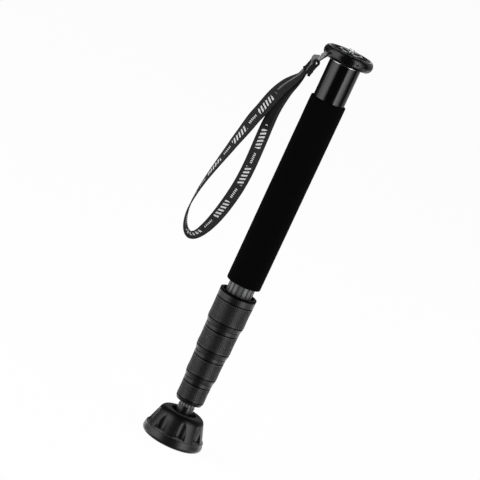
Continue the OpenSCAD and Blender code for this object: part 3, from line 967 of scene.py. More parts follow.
@dataclass(frozen=True)
class WristStrap(Assembly):
    """Tether, knot, wrap and long loop of the wrist strap, on the camera plate's left."""

    depth: float = -15.0
    width: float = 12.0
    thick: float = 1.3
    loop_step: float = 1.3
    strip_step: float = 0.4
    cup: tuple[float, float] = (0.4, 1.9)
    wrap_base: tuple[float, float, float] = (-28.9, -15.0, 366.6)
    wrap_lean: float = 18.0
    wrap_size: tuple[float, float, float] = (9.2, 4.2, 3.6)
    wrap_over: float = 0.6
    wrap_swell: tuple[float, float] = (0.9, 0.1)
    wrap_waist: tuple[float, float] = (0.05, 0.14)
    wavers: tuple[tuple[float, float], ...] = ((0.6, 0.9), (0.4, 2.3))
    sewn_reach: float = 1.1
    sewn_rows: tuple[float, float] = (0.3, 0.75)
    sewn_sink: float = 0.06
    stitch: tuple[float, float] = (1.15, 0.26)
    # Rows as x, z, y from the strap's depth, turn of the outer face, and width.
    route: Rows = (
        (-30.6, 368.4, -0.8, 0, 4.6), (-31.6, 365.9, -1.0, 0, 4.8), (-33.0, 361.6, -1.3, 0, 5.4),
        (-35.0, 358.1, -1.5, 0, 7.2), (-36.9, 355.1, -1.6, 0, 8.6), (-40.7, 349.1, -1.6, 0, 10.4),
        (-43.6, 343.1, -1.5, 0, 11.4), (-46.2, 336.5, -1.3, 0, 12), (-48.9, 328.0, -0.9, 1, 12),
        (-51.3, 319.0, -0.4, 6, 12), (-54.4, 309.0, 0, 14, 12), (-58.3, 293.0, 0, 35, 12),
        (-61.0, 282.5, 0, 46, 12), (-63.3, 272.5, 0, 55, 12), (-65.5, 263.5, 0, 62, 12),
        (-67.4, 255.5, 0, 68, 12), (-69.2, 247.5, 0, 73, 12), (-70.9, 239.5, 0, 78, 12),
        (-72.4, 231.0, 0, 82, 12), (-73.5, 222.5, 0, 86, 12), (-74.2, 214.0, 0, 89, 12),
        (-74.0, 206.0, 0, 92, 12), (-72.8, 199.0, 0, 95, 12), (-70.6, 193.0, 0, 99, 12),
        (-67.4, 188.6, 0, 104, 12), (-63.4, 186.6, 0, 110, 12), (-59.6, 188.0, 0, 117, 12),
        (-56.4, 191.5, 0, 125, 12), (-53.6, 196.5, 0, 133, 12), (-51.0, 202.5, 0, 141, 12),
        (-48.6, 209.5, 0, 149, 12), (-46.4, 217.5, 0, 157, 12), (-44.4, 226.5, 0, 164, 12),
        (-42.6, 236.5, 0, 170, 12), (-41.2, 247.0, 0, 175, 12), (-40.4, 258.0, 0, 178, 12),
        (-40.1, 270.0, 0, 180, 12), (-40.3, 282.0, 0.1, 180, 12), (-40.6, 294.0, 0.3, 176, 12),
        (-40.9, 306.0, 0.7, 166, 12), (-40.7, 317.0, 1.0, 152, 12), (-39.8, 326.0, 1.2, 142, 11.8),
        (-38.1, 335.5, 1.3, 136, 11.2), (-35.8, 345.0, 1.3, 134, 9.8), (-32.9, 353.0, 1.2, 136, 7.6),
        (-31.3, 358.5, 1.1, 142, 6.0), (-30.4, 364.0, 1.0, 152, 5.0), (-29.8, 368.4, 0.8, 162, 4.6),
    )
    # Rows of the other strips: x, y, z, the way across, width and thickness.
    fold_route: Rows = (
        (-29.5, -17.5, 367.6, 0.98, 0, 0.05, 1.2, 0.8), (-29.3, -18.3, 370.2, 0.98, 0, 0.05, 1.6, 0.9),
        (-28.9, -18.7, 373.4, 0.96, 0, -0.2, 1.8, 1.0), (-28.0, -18.9, 376.3, 0.95, 0, -0.25, 2.4, 1.1),
        (-27.8, -18.5, 379.0, 0.97, 0, -0.15, 4.4, 1.2), (-27.5, -18.1, 381.4, 0.98, 0, 0.1, 5.8, 1.2),
        (-27.0, -17.2, 383.2, 0.95, 0, 0.3, 5.6, 1.2), (-26.7, -15.8, 384.2, 0.93, 0, 0.36, 5.0, 1.2),
    )
    back_route: Rows = (
        (-26.7, -16.4, 383.9, 0.94, 0, 0.34, 4.8, 1.2), (-26.7, -14.6, 384.0, 0.95, 0, 0.3, 5.2, 1.2),
        (-27.1, -13.4, 381.6, 0.98, 0, 0, 5.6, 1.2), (-28.0, -13.0, 376.0, 0.97, 0, -0.24, 5.6, 1.2),
        (-29.0, -13.2, 370.5, 0.96, 0, -0.28, 5.4, 1.2), (-29.7, -13.7, 366.8, 0.95, 0, -0.31, 5.0, 1.2),
    )
    arch_route: Rows = (
        (-25.8, -19.9, 364.3, 1, 0, -0.1, 2.0, 1.0), (-26.1, -20.0, 366.2, 1, 0, -0.05, 3.2, 1.2),
        (-26.1, -20.0, 368.8, 1, 0.05, 0, 3.9, 1.3), (-25.4, -20.0, 371.6, 0.95, 0.2, -0.15, 4.2, 1.5),
        (-24.3, -20.0, 374.3, 0.75, 0.6, -0.2, 4.0, 2.0), (-22.9, -20.1, 376.6, 0.3, 0.95, -0.1, 3.2, 2.2),
        (-22.2, -20.1, 378.6, 0, 1, 0, 2.8, 2.2), (-22.9, -20.1, 380.1, 0, 1, 0, 2.8, 2.2),
        (-24.4, -20.1, 380.6, 0, 1, 0, 2.8, 2.2), (-25.9, -20.1, 379.9, 0, 1, 0, 2.8, 2.6),
        (-26.2, -20.1, 378.3, 0, 1, 0, 2.8, 3.0), (-25.6, -20.0, 376.8, 0, 1, 0, 2.8, 2.8),
        (-24.4, -19.6, 375.4, 0, 1, 0, 2.6, 1.8),
    )
    end_route: Rows = (
        (-29.4, -18.4, 379.4, 0.97, 0, -0.24, 1.2, 0.9), (-29.9, -19.0, 377.0, 0.97, 0, -0.24, 2.0, 1.0),
        (-30.5, -19.1, 374.6, 0.96, 0, -0.28, 2.4, 1.1), (-31.1, -19.0, 372.2, 0.92, 0, -0.38, 2.6, 1.2),
        (-32.0, -18.8, 370.5, 0.8, 0, -0.6, 2.6, 1.2), (-33.3, -18.3, 369.4, 0.62, 0, -0.78, 2.2, 1.2),
    )
    tether_route: Rows = (
        (-17.4, -8.6, 390.6, 0.6, -0.8, 0, 4.6, 0.8), (-18.2, -8.4, 388.8, 0.8, -0.6, 0, 4.8, 0.8),
        (-19.7, -8.4, 387.4, 0.95, -0.3, -0.1, 5.4, 0.8), (-20.8, -9.2, 386.3, 0.99, -0.1, -0.1, 5.6, 0.8),
        (-21.5, -11.0, 385.2, 0.99, 0, -0.15, 5.0, 0.8), (-22.0, -13.4, 384.1, 0.98, 0, -0.2, 4.0, 0.8),
        (-22.4, -15.7, 382.9, 0.98, 0, -0.2, 3.2, 0.8), (-22.9, -17.5, 381.5, 0.98, 0, -0.15, 2.5, 0.7),
        (-23.3, -18.1, 379.9, 1, 0, 0, 2.0, 0.6), (-23.6, -19.1, 379.0, 1, 0, 0, 1.6, 0.4),
        (-23.8, -20.6, 378.9, 1, 0, 0, 1.4, 0.4), (-23.7, -21.4, 378.9, 1, 0, 0, 1.2, 0.4),
    )
    dark_leg_route: Rows = (
        (-23.6, -20.4, 378.9, 0, -1, 0, 1.0, 0.6), (-23.4, -21.8, 379.4, 0.1, -0.8, 0.6, 1.2, 0.7),
        (-22.8, -22.2, 381.2, 0.1, -0.98, 0.1, 1.5, 0.8), (-21.5, -21.6, 383.4, 0, -1, 0, 1.8, 0.8),
        (-20.0, -20.5, 385.9, 0.15, -0.97, 0, 2.0, 0.8), (-18.6, -19.3, 388.4, 0.45, -0.88, 0, 2.2, 0.8),
        (-17.7, -18.3, 390.6, 0.65, -0.76, 0, 2.2, 0.8), (-17.0, -17.3, 391.35, 0.71, -0.7, 0, 2.2, 0.8),
        (-15.8, -16.05, 391.35, 0.71, -0.7, 0, 2.2, 0.8), (-13.8, -14.05, 391.35, 0.71, -0.7, 0, 2.2, 0.8),
    )

    def loop(self) -> tuple[bpy.types.Object, list[Vector]]:
        """The long loop of webbing.

        Returns:
            The piece, and the points that it follows in metres.
        """
        places = [(x, self.depth + y, z, turn, wide) for x, z, y, turn, wide in self.route]
        rows = smooth_rows(places, self.loop_step)
        rings = []
        for row, along in zip(rows, headings(rows)):
            out = along.cross(FRONT).normalized()
            front = out.cross(along).normalized()
            turn = math.radians(row[3])
            face = front * math.cos(turn) + out * math.sin(turn)
            dish = math.cos(turn) * self.cup[0 if math.cos(turn) > 0 else 1] * row[4] / self.width
            rings.append(Ring(Vector(row[:3]), along.cross(face), face, row[4], self.thick, dish))
        mesh = Band(rings).mesh("wrist_loop")
        return new_piece("wrist_loop", mesh, Look.WEBBING), [ring.centre * MM for ring in rings]

    def strip(self, name: str, route: Rows, look: Look, puff: float = 0.0) -> bpy.types.Object:
        """A short strip of webbing or tape along its own route.

        Args:
            name: Name of the piece.
            route: Rows as x, y, z, the way across, width and thickness.
            look: Its finish.
            puff: Share by which its size wavers.

        Returns:
            The strip.
        """
        rows = smooth_rows(route, self.strip_step)
        rings = []
        for i, (row, along) in enumerate(zip(rows, headings(rows))):
            across = Vector(row[3:6])
            side = (across - along * across.dot(along)).normalized()
            swell = 1 + puff * sum(share * math.sin(i * rate) for share, rate in self.wavers)
            rings.append(Ring(Vector(row[:3]), side, side.cross(along), row[6] * swell, row[7] * swell))
        return new_piece(name, Band(rings).mesh(name), look)

    def wrap_ways(self) -> tuple[Vector, Vector]:
        """Ways across and up the leaning wrap."""
        lean = math.radians(self.wrap_lean)
        return Vector((math.cos(lean), 0, -math.sin(lean))), Vector((math.sin(lean), 0, math.cos(lean)))

    def wrap_place(self, across: float, out: float, up: float) -> Vector:
        """A place on the leaning wrap."""
        side, rise = self.wrap_ways()
        return Vector(self.wrap_base) + side * across + FRONT * out + rise * up

    def wrap(self, count: int = 14) -> bpy.types.Object:
        """Folded webbing that binds the two limbs under the knot.

        Args:
            count: Steps up the wrap.

        Returns:
            The wrap.
        """
        wide, deep, high = self.wrap_size
        (ends, more), (less, spread) = self.wrap_swell, self.wrap_waist
        side, _ = self.wrap_ways()
        rings = []
        for k in range(count + 1):
            t = k / count
            waist = less * math.exp(-(((t - 0.5) / spread) ** 2))
            swell = ends + more * math.sin(math.pi * t) ** 0.5 - waist
            centre = self.wrap_place(0, 0, -self.wrap_over + (high + 2 * self.wrap_over) * t)
            rings.append(Ring(centre, side, FRONT, wide * swell, deep * swell))
        # The wrap takes the darker copy of the webbing as painted shade.
        return new_piece("strap_wrap_band", Band(rings, flat=9, edge=9).mesh("strap_wrap_band"), Look.PAINTED_SHADE_KNOT)

    def stitches(self, count: int = 8) -> bpy.types.Object:
        """Two rows of sewing across the front of the wrap and two across its back.

        Args:
            count: Steps along a row.

        Returns:
            The sewing.
        """
        wide, deep, high = self.wrap_size
        points, edges = [], []
        for out in (deep / 2 - self.sewn_sink, -deep / 2 + self.sewn_sink):
            for share in self.sewn_rows:
                first = len(points)
                for k in range(count + 1):
                    across = (k / count - 0.5) * (wide - deep) * self.sewn_reach
                    points.append(self.wrap_place(across, out, high * share) * MM)
                edges += [(first + k, first + k + 1) for k in range(count)]
        carrier = bpy.data.meshes.new("stitch lines")
        carrier.from_pydata(points, edges, [])
        sizes = dict(zip(SewnLine.sizes, self.stitch))
        return SewnLine(Look.THREAD).grow("strap_stitches", carrier, sizes)

    def build(self) -> None:
        loop, path = self.loop()
        self.seat(loop, Body.UPPER, "webbing", "strap_loop")
        tether = self.strip("strap_tether_tape", self.tether_route, Look.TETHER)
        self.seat(tether, Body.UPPER, "tether", "strap_tether")
        # The knot's arch, back and end take the darker copy of the webbing as painted shade.
        arch = self.strip("strap_knot_arch", self.arch_route, Look.PAINTED_SHADE_KNOT, 0.08)
        self.seat(arch, Body.UPPER, "webbing", "strap_knot")
        wrap = self.wrap()
        self.seat(wrap, Body.UPPER, "webbing", "strap_wrap")
        trim = [
            # The fold takes the lighter copy of the webbing as painted light.
            self.strip("strap_knot_fold", self.fold_route, Look.PAINTED_LIGHT_FOLD, 0.03),
            self.strip("strap_knot_back", self.back_route, Look.PAINTED_SHADE_KNOT, 0.03),
            self.strip("strap_knot_end", self.end_route, Look.PAINTED_SHADE_KNOT, 0.08),
            # The tether's front leg is a separate dark strip.
            self.strip("strap_tether_dark_leg", self.dark_leg_route, Look.DARK_LEG),
            self.stitches(),
        ]
        for piece in trim:
            self.seat(piece, Body.UPPER, "webbing")
        for piece in (loop, tether, arch, wrap, *trim):
            piece.visible_glossy = False
        length = sum((b - a).length for a, b in zip(path, path[1:]))
        self.width * MM
        LOG.info("wrist strap: loop of %.0f mm with tether, knot, wrap and sewing", length / MM)


class Growth(Tree):
    """Geometry Nodes tree with named sizes that is run once on a carrier mesh."""

    label = "growth"
    counts: tuple[str, ...] = ()
    shares: tuple[str, ...] = ()
    sizes: tuple[str, ...] = ()

    def __init__(self, look: Look) -> None:
        """Make the tree.

        Args:
            look: Finish of everything that grows.
        """
        group = bpy.data.node_groups.new(self.label, "GeometryNodeTree")
        super().__init__(group)
        kinds = {"Carrier": "Geometry", **dict.fromkeys(self.counts, "Int")}
        kinds |= dict.fromkeys((*self.shares, *self.sizes), "Float")
        for name, kind in kinds.items():
            group.interface.new_socket(name, in_out="INPUT", socket_type="NodeSocket" + kind)
        result = group.interface.new_socket("Result", in_out="OUTPUT", socket_type="NodeSocketGeometry")
        entry = self.node("NodeGroupInput").socket.node
        self.given = {s.name: Val(self, s) for s in entry.outputs if s.name}
        whole = self.node("GeometryNodeRealizeInstances", {}, {"Geometry": self.form()})
        dress = {"Geometry": whole, "Material": look.material()}
        dressed = self.node("GeometryNodeSetMaterial", {}, dress)
        self.node("NodeGroupOutput", {}, {result.identifier: dressed})

    def form(self) -> Val:
        """The geometry that grows; each tree has its own."""
        raise NotImplementedError

    def both(self, first: Val, second: Val) -> Val:
        """Join two geometries.

        Args:
            first: One.
            second: The other.

        Returns:
            Both as one.
        """
        made = self.node("GeometryNodeJoinGeometry", {}, {"Geometry": first})
        self.feed(made.socket.node.inputs[0], second)
        return made

    def scatter(self, spots: Val, shape: Val, turn: Val, size: Val) -> Val:
        """A shape on every point."""
        inputs = {"Points": spots, "Instance": shape, "Rotation": turn, "Scale": size}
        return self.node("GeometryNodeInstanceOnPoints", {}, inputs)

    def grow(self, name: str, carrier: bpy.types.Mesh, sizes: dict[str, float]) -> bpy.types.Object:
        """Run the tree and keep the result as a plain mesh.

        Args:
            name: Name of the piece.
            carrier: Mesh that the tree starts from.
            sizes: Named counts, shares, and sizes in millimetres.

        Returns:
            The piece.
        """
        holder = linked(name + " carrier", carrier)
        modifier = holder.modifiers.new("grow", "NODES")
        modifier.node_group = self.tree
        for item in self.tree.interface.items_tree:
            if item.name in sizes:
                modifier[item.identifier] = sizes[item.name] * (MM if item.name in self.sizes else 1)
        depsgraph = bpy.context.evaluated_depsgraph_get()
        mesh = bpy.data.meshes.new_from_object(holder.evaluated_get(depsgraph), depsgraph=depsgraph)
        holder.modifiers.remove(modifier)
        bpy.data.objects.remove(holder)
        return new_piece(name, mesh, smooth=False)


class SewnLine(Growth):
    """Short threads along the carrier's lines."""

    label = "sewn line"
    sizes = ("Spacing", "Thread")

    def form(self) -> Val:
        """A stretched bead at each stitch, along the line.

        Returns:
            The geometry.
        """
        thread = self.given["Thread"]
        line = self.node("GeometryNodeMeshToCurve", {}, {"Mesh": self.given["Carrier"]})
        along = {"Curve": line, "Length": self.given["Spacing"]}
        spots = self.node("GeometryNodeCurveToPoints", {"mode": "LENGTH"}, along)
        way = {"Vector": spots.other("Tangent")}
        turn = self.node("FunctionNodeAlignRotationToVector", {"axis": "Z"}, way)
        ball = {"Segments": 8, "Rings": 6, "Radius": 1.0}
        bead = self.node("GeometryNodeMeshUVSphere", {}, ball, "Mesh")
        return self.scatter(spots, bead, turn, self.join(thread, thread, thread * 1.8))


class StudField(Growth):
    """Diamond studs in staggered rows round an axis, over a carrier."""

    counts = ("Around", "Rows")
    shares = ("Top",)
    sizes = ("Radius", "Middle", "Step", "Waist", "High", "Wide", "Tall")

    def lattice(self) -> tuple[Val, Val, Val]:
        """Points of the field before they are placed.

        Returns:
            The points, the angle of each round the axis, and its row from the middle.
        """
        around, rows = self.given["Around"], self.given["Rows"]
        inputs = {"Size X": around - 1.0, "Size Y": rows - 1.0, "Vertices X": around, "Vertices Y": rows}
        grid = self.node("GeometryNodeMeshGrid", {}, inputs, "Mesh")
        column, row, _ = self.parts(self.node("GeometryNodeInputPosition"))
        odd = (row + (rows - 1.0) * 0.5).round() % 2.0
        angle = (column + (around - 1.0) * 0.5 + odd * 0.5) * (2 * math.pi) / around
        return grid, angle, row

    def placed(self, grid: Val, angle: Val, out: Val, height: Val) -> Val:
        """The field's points put round the axis."""
        place = self.join(angle.cos() * out, angle.sin() * out, height)
        return self.node("GeometryNodeSetPosition", {}, {"Geometry": grid, "Position": place})

    def studs(self, spots: Val, tip: Any, angle: Val) -> Val:
        """Studs on placed points.

        Args:
            spots: The points.
            tip: Turn of each stud away from upright, in radians.
            angle: Angle of each stud round the axis.

        Returns:
            The studs.
        """
        sizes = {"Vertices": 4, "Radius Top": self.given["Top"], "Radius Bottom": 1.0, "Depth": 1.0}
        stud = self.node("GeometryNodeMeshCone", {"fill_type": "NGON"}, sizes, "Mesh")
        turn = self.node("FunctionNodeEulerToRotation", {}, {"Euler": self.join(0.0, tip, angle)})
        size = self.join(self.given["Tall"], self.given["Wide"], self.given["High"])
        return self.scatter(spots, stud, turn, size)


class GripStuds(StudField):
    """Cross-hatched rubber: studs over a waisted sleeve."""

    label = "grip studs"

    def form(self) -> Val:
        """Studs on the sleeve's outside, with the sleeve itself.

        Returns:
            The geometry.
        """
        grid, angle, row = self.lattice()
        reach = row / (self.given["Rows"] * 0.5)
        out = self.given["Radius"] - self.given["Waist"] * (1 - reach * reach)
        spots = self.placed(grid, angle, out, self.given["Middle"] + row * self.given["Step"])
        x, y, _ = self.parts(self.node("GeometryNodeInputPosition"))
        return self.both(self.given["Carrier"], self.studs(spots, math.pi / 2, y.angle_from(x)))


class NoseStuds(StudField):
    """Fine knurl over a bull-nosed rim, left open at two places."""

    label = "knurl studs"
    sizes = (*StudField.sizes, "Nose", "Gap", "Screw X", "Screw Y", "Slot X", "Slot Y")

    def form(self) -> Val:
        """Studs that stand square to the rim's curve.

        Returns:
            The geometry.
        """
        given = self.given
        grid, angle, row = self.lattice()
        rise = row * given["Step"] / given["Nose"]
        out = given["Radius"] + rise.cos() * given["Nose"]
        spots = self.placed(grid, angle, out, given["Middle"] + rise.sin() * given["Nose"])
        at = self.node("GeometryNodeInputPosition")
        x, y, z = self.parts(at)
        near = []
        for name in ("Screw", "Slot"):
            hole = self.join(given[name + " X"], given[name + " Y"], given["Middle"])
            near.append(self.vector("DISTANCE", at, hole, "Value").below(given["Gap"]))
        inputs = {"Geometry": spots, "Selection": near[0].most(near[1])}
        kept = self.node("GeometryNodeDeleteGeometry", {"domain": "POINT"}, inputs)
        far = (x * x + y * y) ** 0.5 - given["Radius"]
        tip = math.pi / 2 - (z - given["Middle"]).angle_from(far)
        return self.studs(kept, tip, y.angle_from(x))


class ScrewThread(Growth):
    """Thread ridge wound round a core, with a driver slot cut across the top."""

    label = "screw thread"
    shares = ("Turns",)
    sizes = ("Start", "Height", "Root", "Ridge", "Slot", "Slot Depth")

    def lifted(self, shape: Val, height: Val) -> Val:
        """A shape moved up."""
        inputs = {"Geometry": shape, "Translation": self.join(0.0, 0.0, height)}
        return self.node("GeometryNodeTransform", {}, inputs)

    def form(self) -> Val:
        """Core and ridge with the slot taken out.

        Returns:
            The geometry.
        """
        given = self.given
        winding = {"Resolution": 36, "Rotations": given["Turns"], "Height": given["Height"]}
        winding |= dict.fromkeys(("Start Radius", "End Radius"), given["Root"])
        coil = self.node("GeometryNodeCurveSpiral", {}, winding)
        upright = self.node("GeometryNodeSetCurveNormal", {"mode": "Z_UP"}, {"Curve": coil})
        square = {"Resolution": 4, "Radius": given["Ridge"]}
        edge = self.node("GeometryNodeCurvePrimitiveCircle", {"mode": "RADIUS"}, square)
        sweep = {"Curve": upright, "Profile Curve": edge, "Fill Caps": True}
        ridge = self.node("GeometryNodeCurveToMesh", {}, sweep)
        size = self.join(given["Slot"], given["Root"] * 4.0, given["Slot Depth"] * 2.0)
        cutter = self.node("GeometryNodeMeshCube", {}, {"Size": size}, "Mesh")
        core = self.both(given["Carrier"], self.lifted(ridge, given["Start"]))
        slot = self.lifted(cutter, given["Start"] + given["Height"] + given["Ridge"])
        return self.node(
            "GeometryNodeMeshBoolean",
            {"operation": "DIFFERENCE", "solver": "EXACT"},
            {"Mesh 1": core, "Mesh 2": slot, "Self Intersection": True},
        )


@dataclass(frozen=True)
class Studs:
    """Pattern of a stud field: spacing round and along, height, and shares of width, length and top."""

    pitch: float
    step: float
    high: float
    wide: float
    tall: float
    top: float

    def sizes(self, radius: float, span: float) -> dict[str, float]:
        """Named numbers of a field.

        Args:
            radius: Its outer radius.
            span: Its length along an upright line.

        Returns:
            Counts, shares and sizes.
        """
        return {
            "Around": round(2 * math.pi * radius / self.pitch),
            "Rows": int(span / self.step),
            "Top": self.top,
            "Step": self.step,
            "High": self.high,
            "Wide": self.pitch * self.wide,
            "Tall": self.step * self.tall,
        }


@dataclass(frozen=True)
class FoamGrip(Assembly):
    """Soft foam sleeve on the upper tube."""

    bore: float = 15.03
    edge: float = 1.1
    taper: float = 0.4
    around: int = 144
    rows: int = 90
    edge_steps: int = 8
    skin: float = 0.1
    uneven: float = 0.05
    dents: tuple[float, float] = (1.6, 11.0)
    fine_dents: tuple[float, float] = (4.3, 0.4)

    def profile(self, low: Vector, high: Vector) -> list[tuple[float, float]]:
        """Closed outline of the sleeve's wall.

        Args:
            low: Lowest corner of the sleeve in millimetres.
            high: Highest corner.

        Returns:
            Corners as (radius, height).
        """
        edge, top, thin = self.edge, high.x, high.x - self.taper
        quarter = [math.pi / (2 * self.edge_steps) * k for k in range(self.edge_steps + 1)]
        wall = [(self.bore, low.z), (thin - edge, low.z)]
        wall += [(thin - edge * (1 - math.sin(a)), low.z + edge * (1 - math.cos(a))) for a in quarter[1:]]
        for k in range(1, self.rows):
            t = k / self.rows
            wall.append((thin + (top - thin) * t, low.z + edge + (high.z - low.z - 2 * edge) * t))
        wall += [(top - edge * (1 - math.cos(a)), high.z - edge * (1 - math.sin(a))) for a in quarter]
        return [*wall, (self.bore, high.z)]

    def dent(self, radius: float, height: float, angle: float) -> float:
        """Radius with the foam's slight unevenness.

        Args:
            radius: Radius before.
            height: Height above the floor.
            angle: Angle round the axis.

        Returns:
            The radius, less a little outside the bore.
        """
        if radius < self.bore + self.skin:
            return radius
        (round_axis, up), (times, share) = self.dents, self.fine_dents
        spot = Vector((math.cos(angle) * round_axis, math.sin(angle) * round_axis, height / up))
        coarse, fine = 0.5 + noise.noise(spot), noise.noise(spot * times)
        return radius - self.uneven * coarse - share * self.uneven * fine

    def build(self) -> None:
        """Turn the sleeve and put it in the CAD foam's place."""
        profile = self.profile(*box_mm("foam_grip"))
        piece = turned_piece("foam_sleeve", Look.FOAM, [profile], self.around, self.dent)
        self.seat(piece, Body.UPPER, "foam", "foam_grip")


@dataclass(frozen=True)
class Collars(Assembly):
    """The four stepped collars: satin shells with cross-hatched rubber grips."""

    wall: float = 1.58
    studs: Studs = Studs(pitch=2.3, step=1.3, high=0.26, wide=0.44, tall=0.86, top=0.7)
    waist: float = 0.2
    waist_rows: int = 12
    border: float = 0.5
    ends: tuple[float, float] = (0.9, 0.4)
    groove: tuple[float, float] = (0.8, 0.9)
    hair: float = 0.02
    shade_ring_round: float = 0.2
    shade_ring_back: float = 0.1
    shade_ring_drop: float = 0.4
    lip_back: float = 0.3
    rim_wall: float = 1.7
    cup_depth: float = 4.2
    band: float = 2.4
    # Corners of the black sheet in the cup, which is painted shade: a radius and a height, each with what is
    # added to it.
    painted_shade_lining_corners: tuple[tuple[str, float, str, float], ...] = (
        ("reach", -0.3, "band", 0.0), ("reach", 0.04, "band", 0.0), ("reach", 0.05, "top", -0.38),
        ("reach", -0.15, "top", -0.12), ("reach", -0.4, "top", 0.04), ("cup", 0.35, "top", 0.04),
        ("cup", 0.08, "top", -0.1), ("cup", -0.06, "top", -0.4), ("cup", -0.06, "floor", 0.3),
        ("cup", -0.35, "floor", 0.08), ("tube", 0.2, "floor", 0.08), ("tube", 0.2, "floor", -0.1),
        ("cup", 0.3, "floor", -0.1), ("cup", 0.4, "top", -0.6), ("reach", -0.3, "top", -0.6),
    )

    def grip(self, number: int) -> bpy.types.Object:
        """Rubber grip of one section.

        Args:
            number: The section's number.

        Returns:
            The grip.
        """
        low, high = box_mm(f"collar_grip_{number}")
        low.z, high.z = low.z + self.ends[0], high.z - self.ends[1]
        tall, inner, core = high.z - low.z, high.x - self.wall, high.x - self.studs.high
        shares = [k / self.waist_rows for k in range(self.waist_rows + 1)]
        skin = [(core - self.waist * (1 - (2 * t - 1) ** 2), low.z + tall * t) for t in shares]
        profile = [(inner, low.z), *skin, (inner, high.z)]
        sizes = self.studs.sizes(high.x, tall - 2 * self.border)
        sizes |= {"Radius": core, "Middle": (low.z + high.z) / 2, "Waist": self.waist}
        carrier = closed_mesh(*turned(profile, STEPS), "grip sleeve")
        return GripStuds(Look.GRIP).grow(f"rubber_grip_{number}", carrier, sizes)

    def shade_rings(self, number: int) -> bpy.types.Object:
        """Black rings in the grooves at both ends of a grip, as painted shade in the grooves.

        Args:
            number: The section's number.

        Returns:
            The two rings as one piece.
        """
        low, high = box_mm(f"collar_grip_{number}")
        reach = box_mm(f"collar_shell_{number}")[1].x
        tall, deep = self.groove
        back, soft = reach - deep + self.hair, self.shade_ring_round
        rings = []
        for bottom, top, out in (
            (high.z - self.ends[1], high.z + tall - self.hair, reach - self.shade_ring_back),
            (low.z - self.shade_ring_drop, low.z + self.ends[0], reach - self.lip_back + 2 * self.hair),
        ):
            under = [(back, bottom), (out - soft, bottom), (out, bottom + soft)]
            rings.append([*under, (out, top - soft), (out - soft, top), (back, top)])
        # Painted shade: near-black rings fill the grooves, standing in for their shade.
        return turned_piece(f"painted_shade_rings_{number}", Look.SHADE_BLACK, rings)

    def painted_shade_lining(self, around: int = 128) -> bpy.types.Object:
        """Black sheet over the inside of the top collar's cup, turned over its rim, as painted shade in the
        cup.

        Args:
            around: Steps round the axis.

        Returns:
            The lining.
        """
        corner = box_mm("collar_shell_2")[1]
        at = {"reach": corner.x, "cup": corner.x - self.rim_wall, "tube": box_mm("tube_2")[1].x}
        at |= {"top": corner.z, "band": corner.z - self.band, "floor": corner.z - self.cup_depth}
        profile = [(at[side] + out, at[level] + up) for side, out, level, up in self.painted_shade_lining_corners]
        # Painted shade: a near-black sheet inside the cup stands in for the shade in it.
        return turned_piece("cup_painted_shade_lining", Look.SHADE_BLACK, [profile], around)

    def build(self) -> None:
        """Dress the shells, make the grips, and put in the black rings at the grip ends and the black sheet
        in the cup, both painted shade.
        """
        for number in range(2, 6):
            body = Body[f"SECTION_{number}"]
            self.seat(self.grip(number), body, "grip_rubber", f"collar_grip_{number}")
            self.seat(self.shade_rings(number), body, "grip_rubber")
            self.dress({f"collar_shell_{number}": Look.COLLAR})
        self.seat(self.painted_shade_lining(), Body.SECTION_2, "grip_rubber")


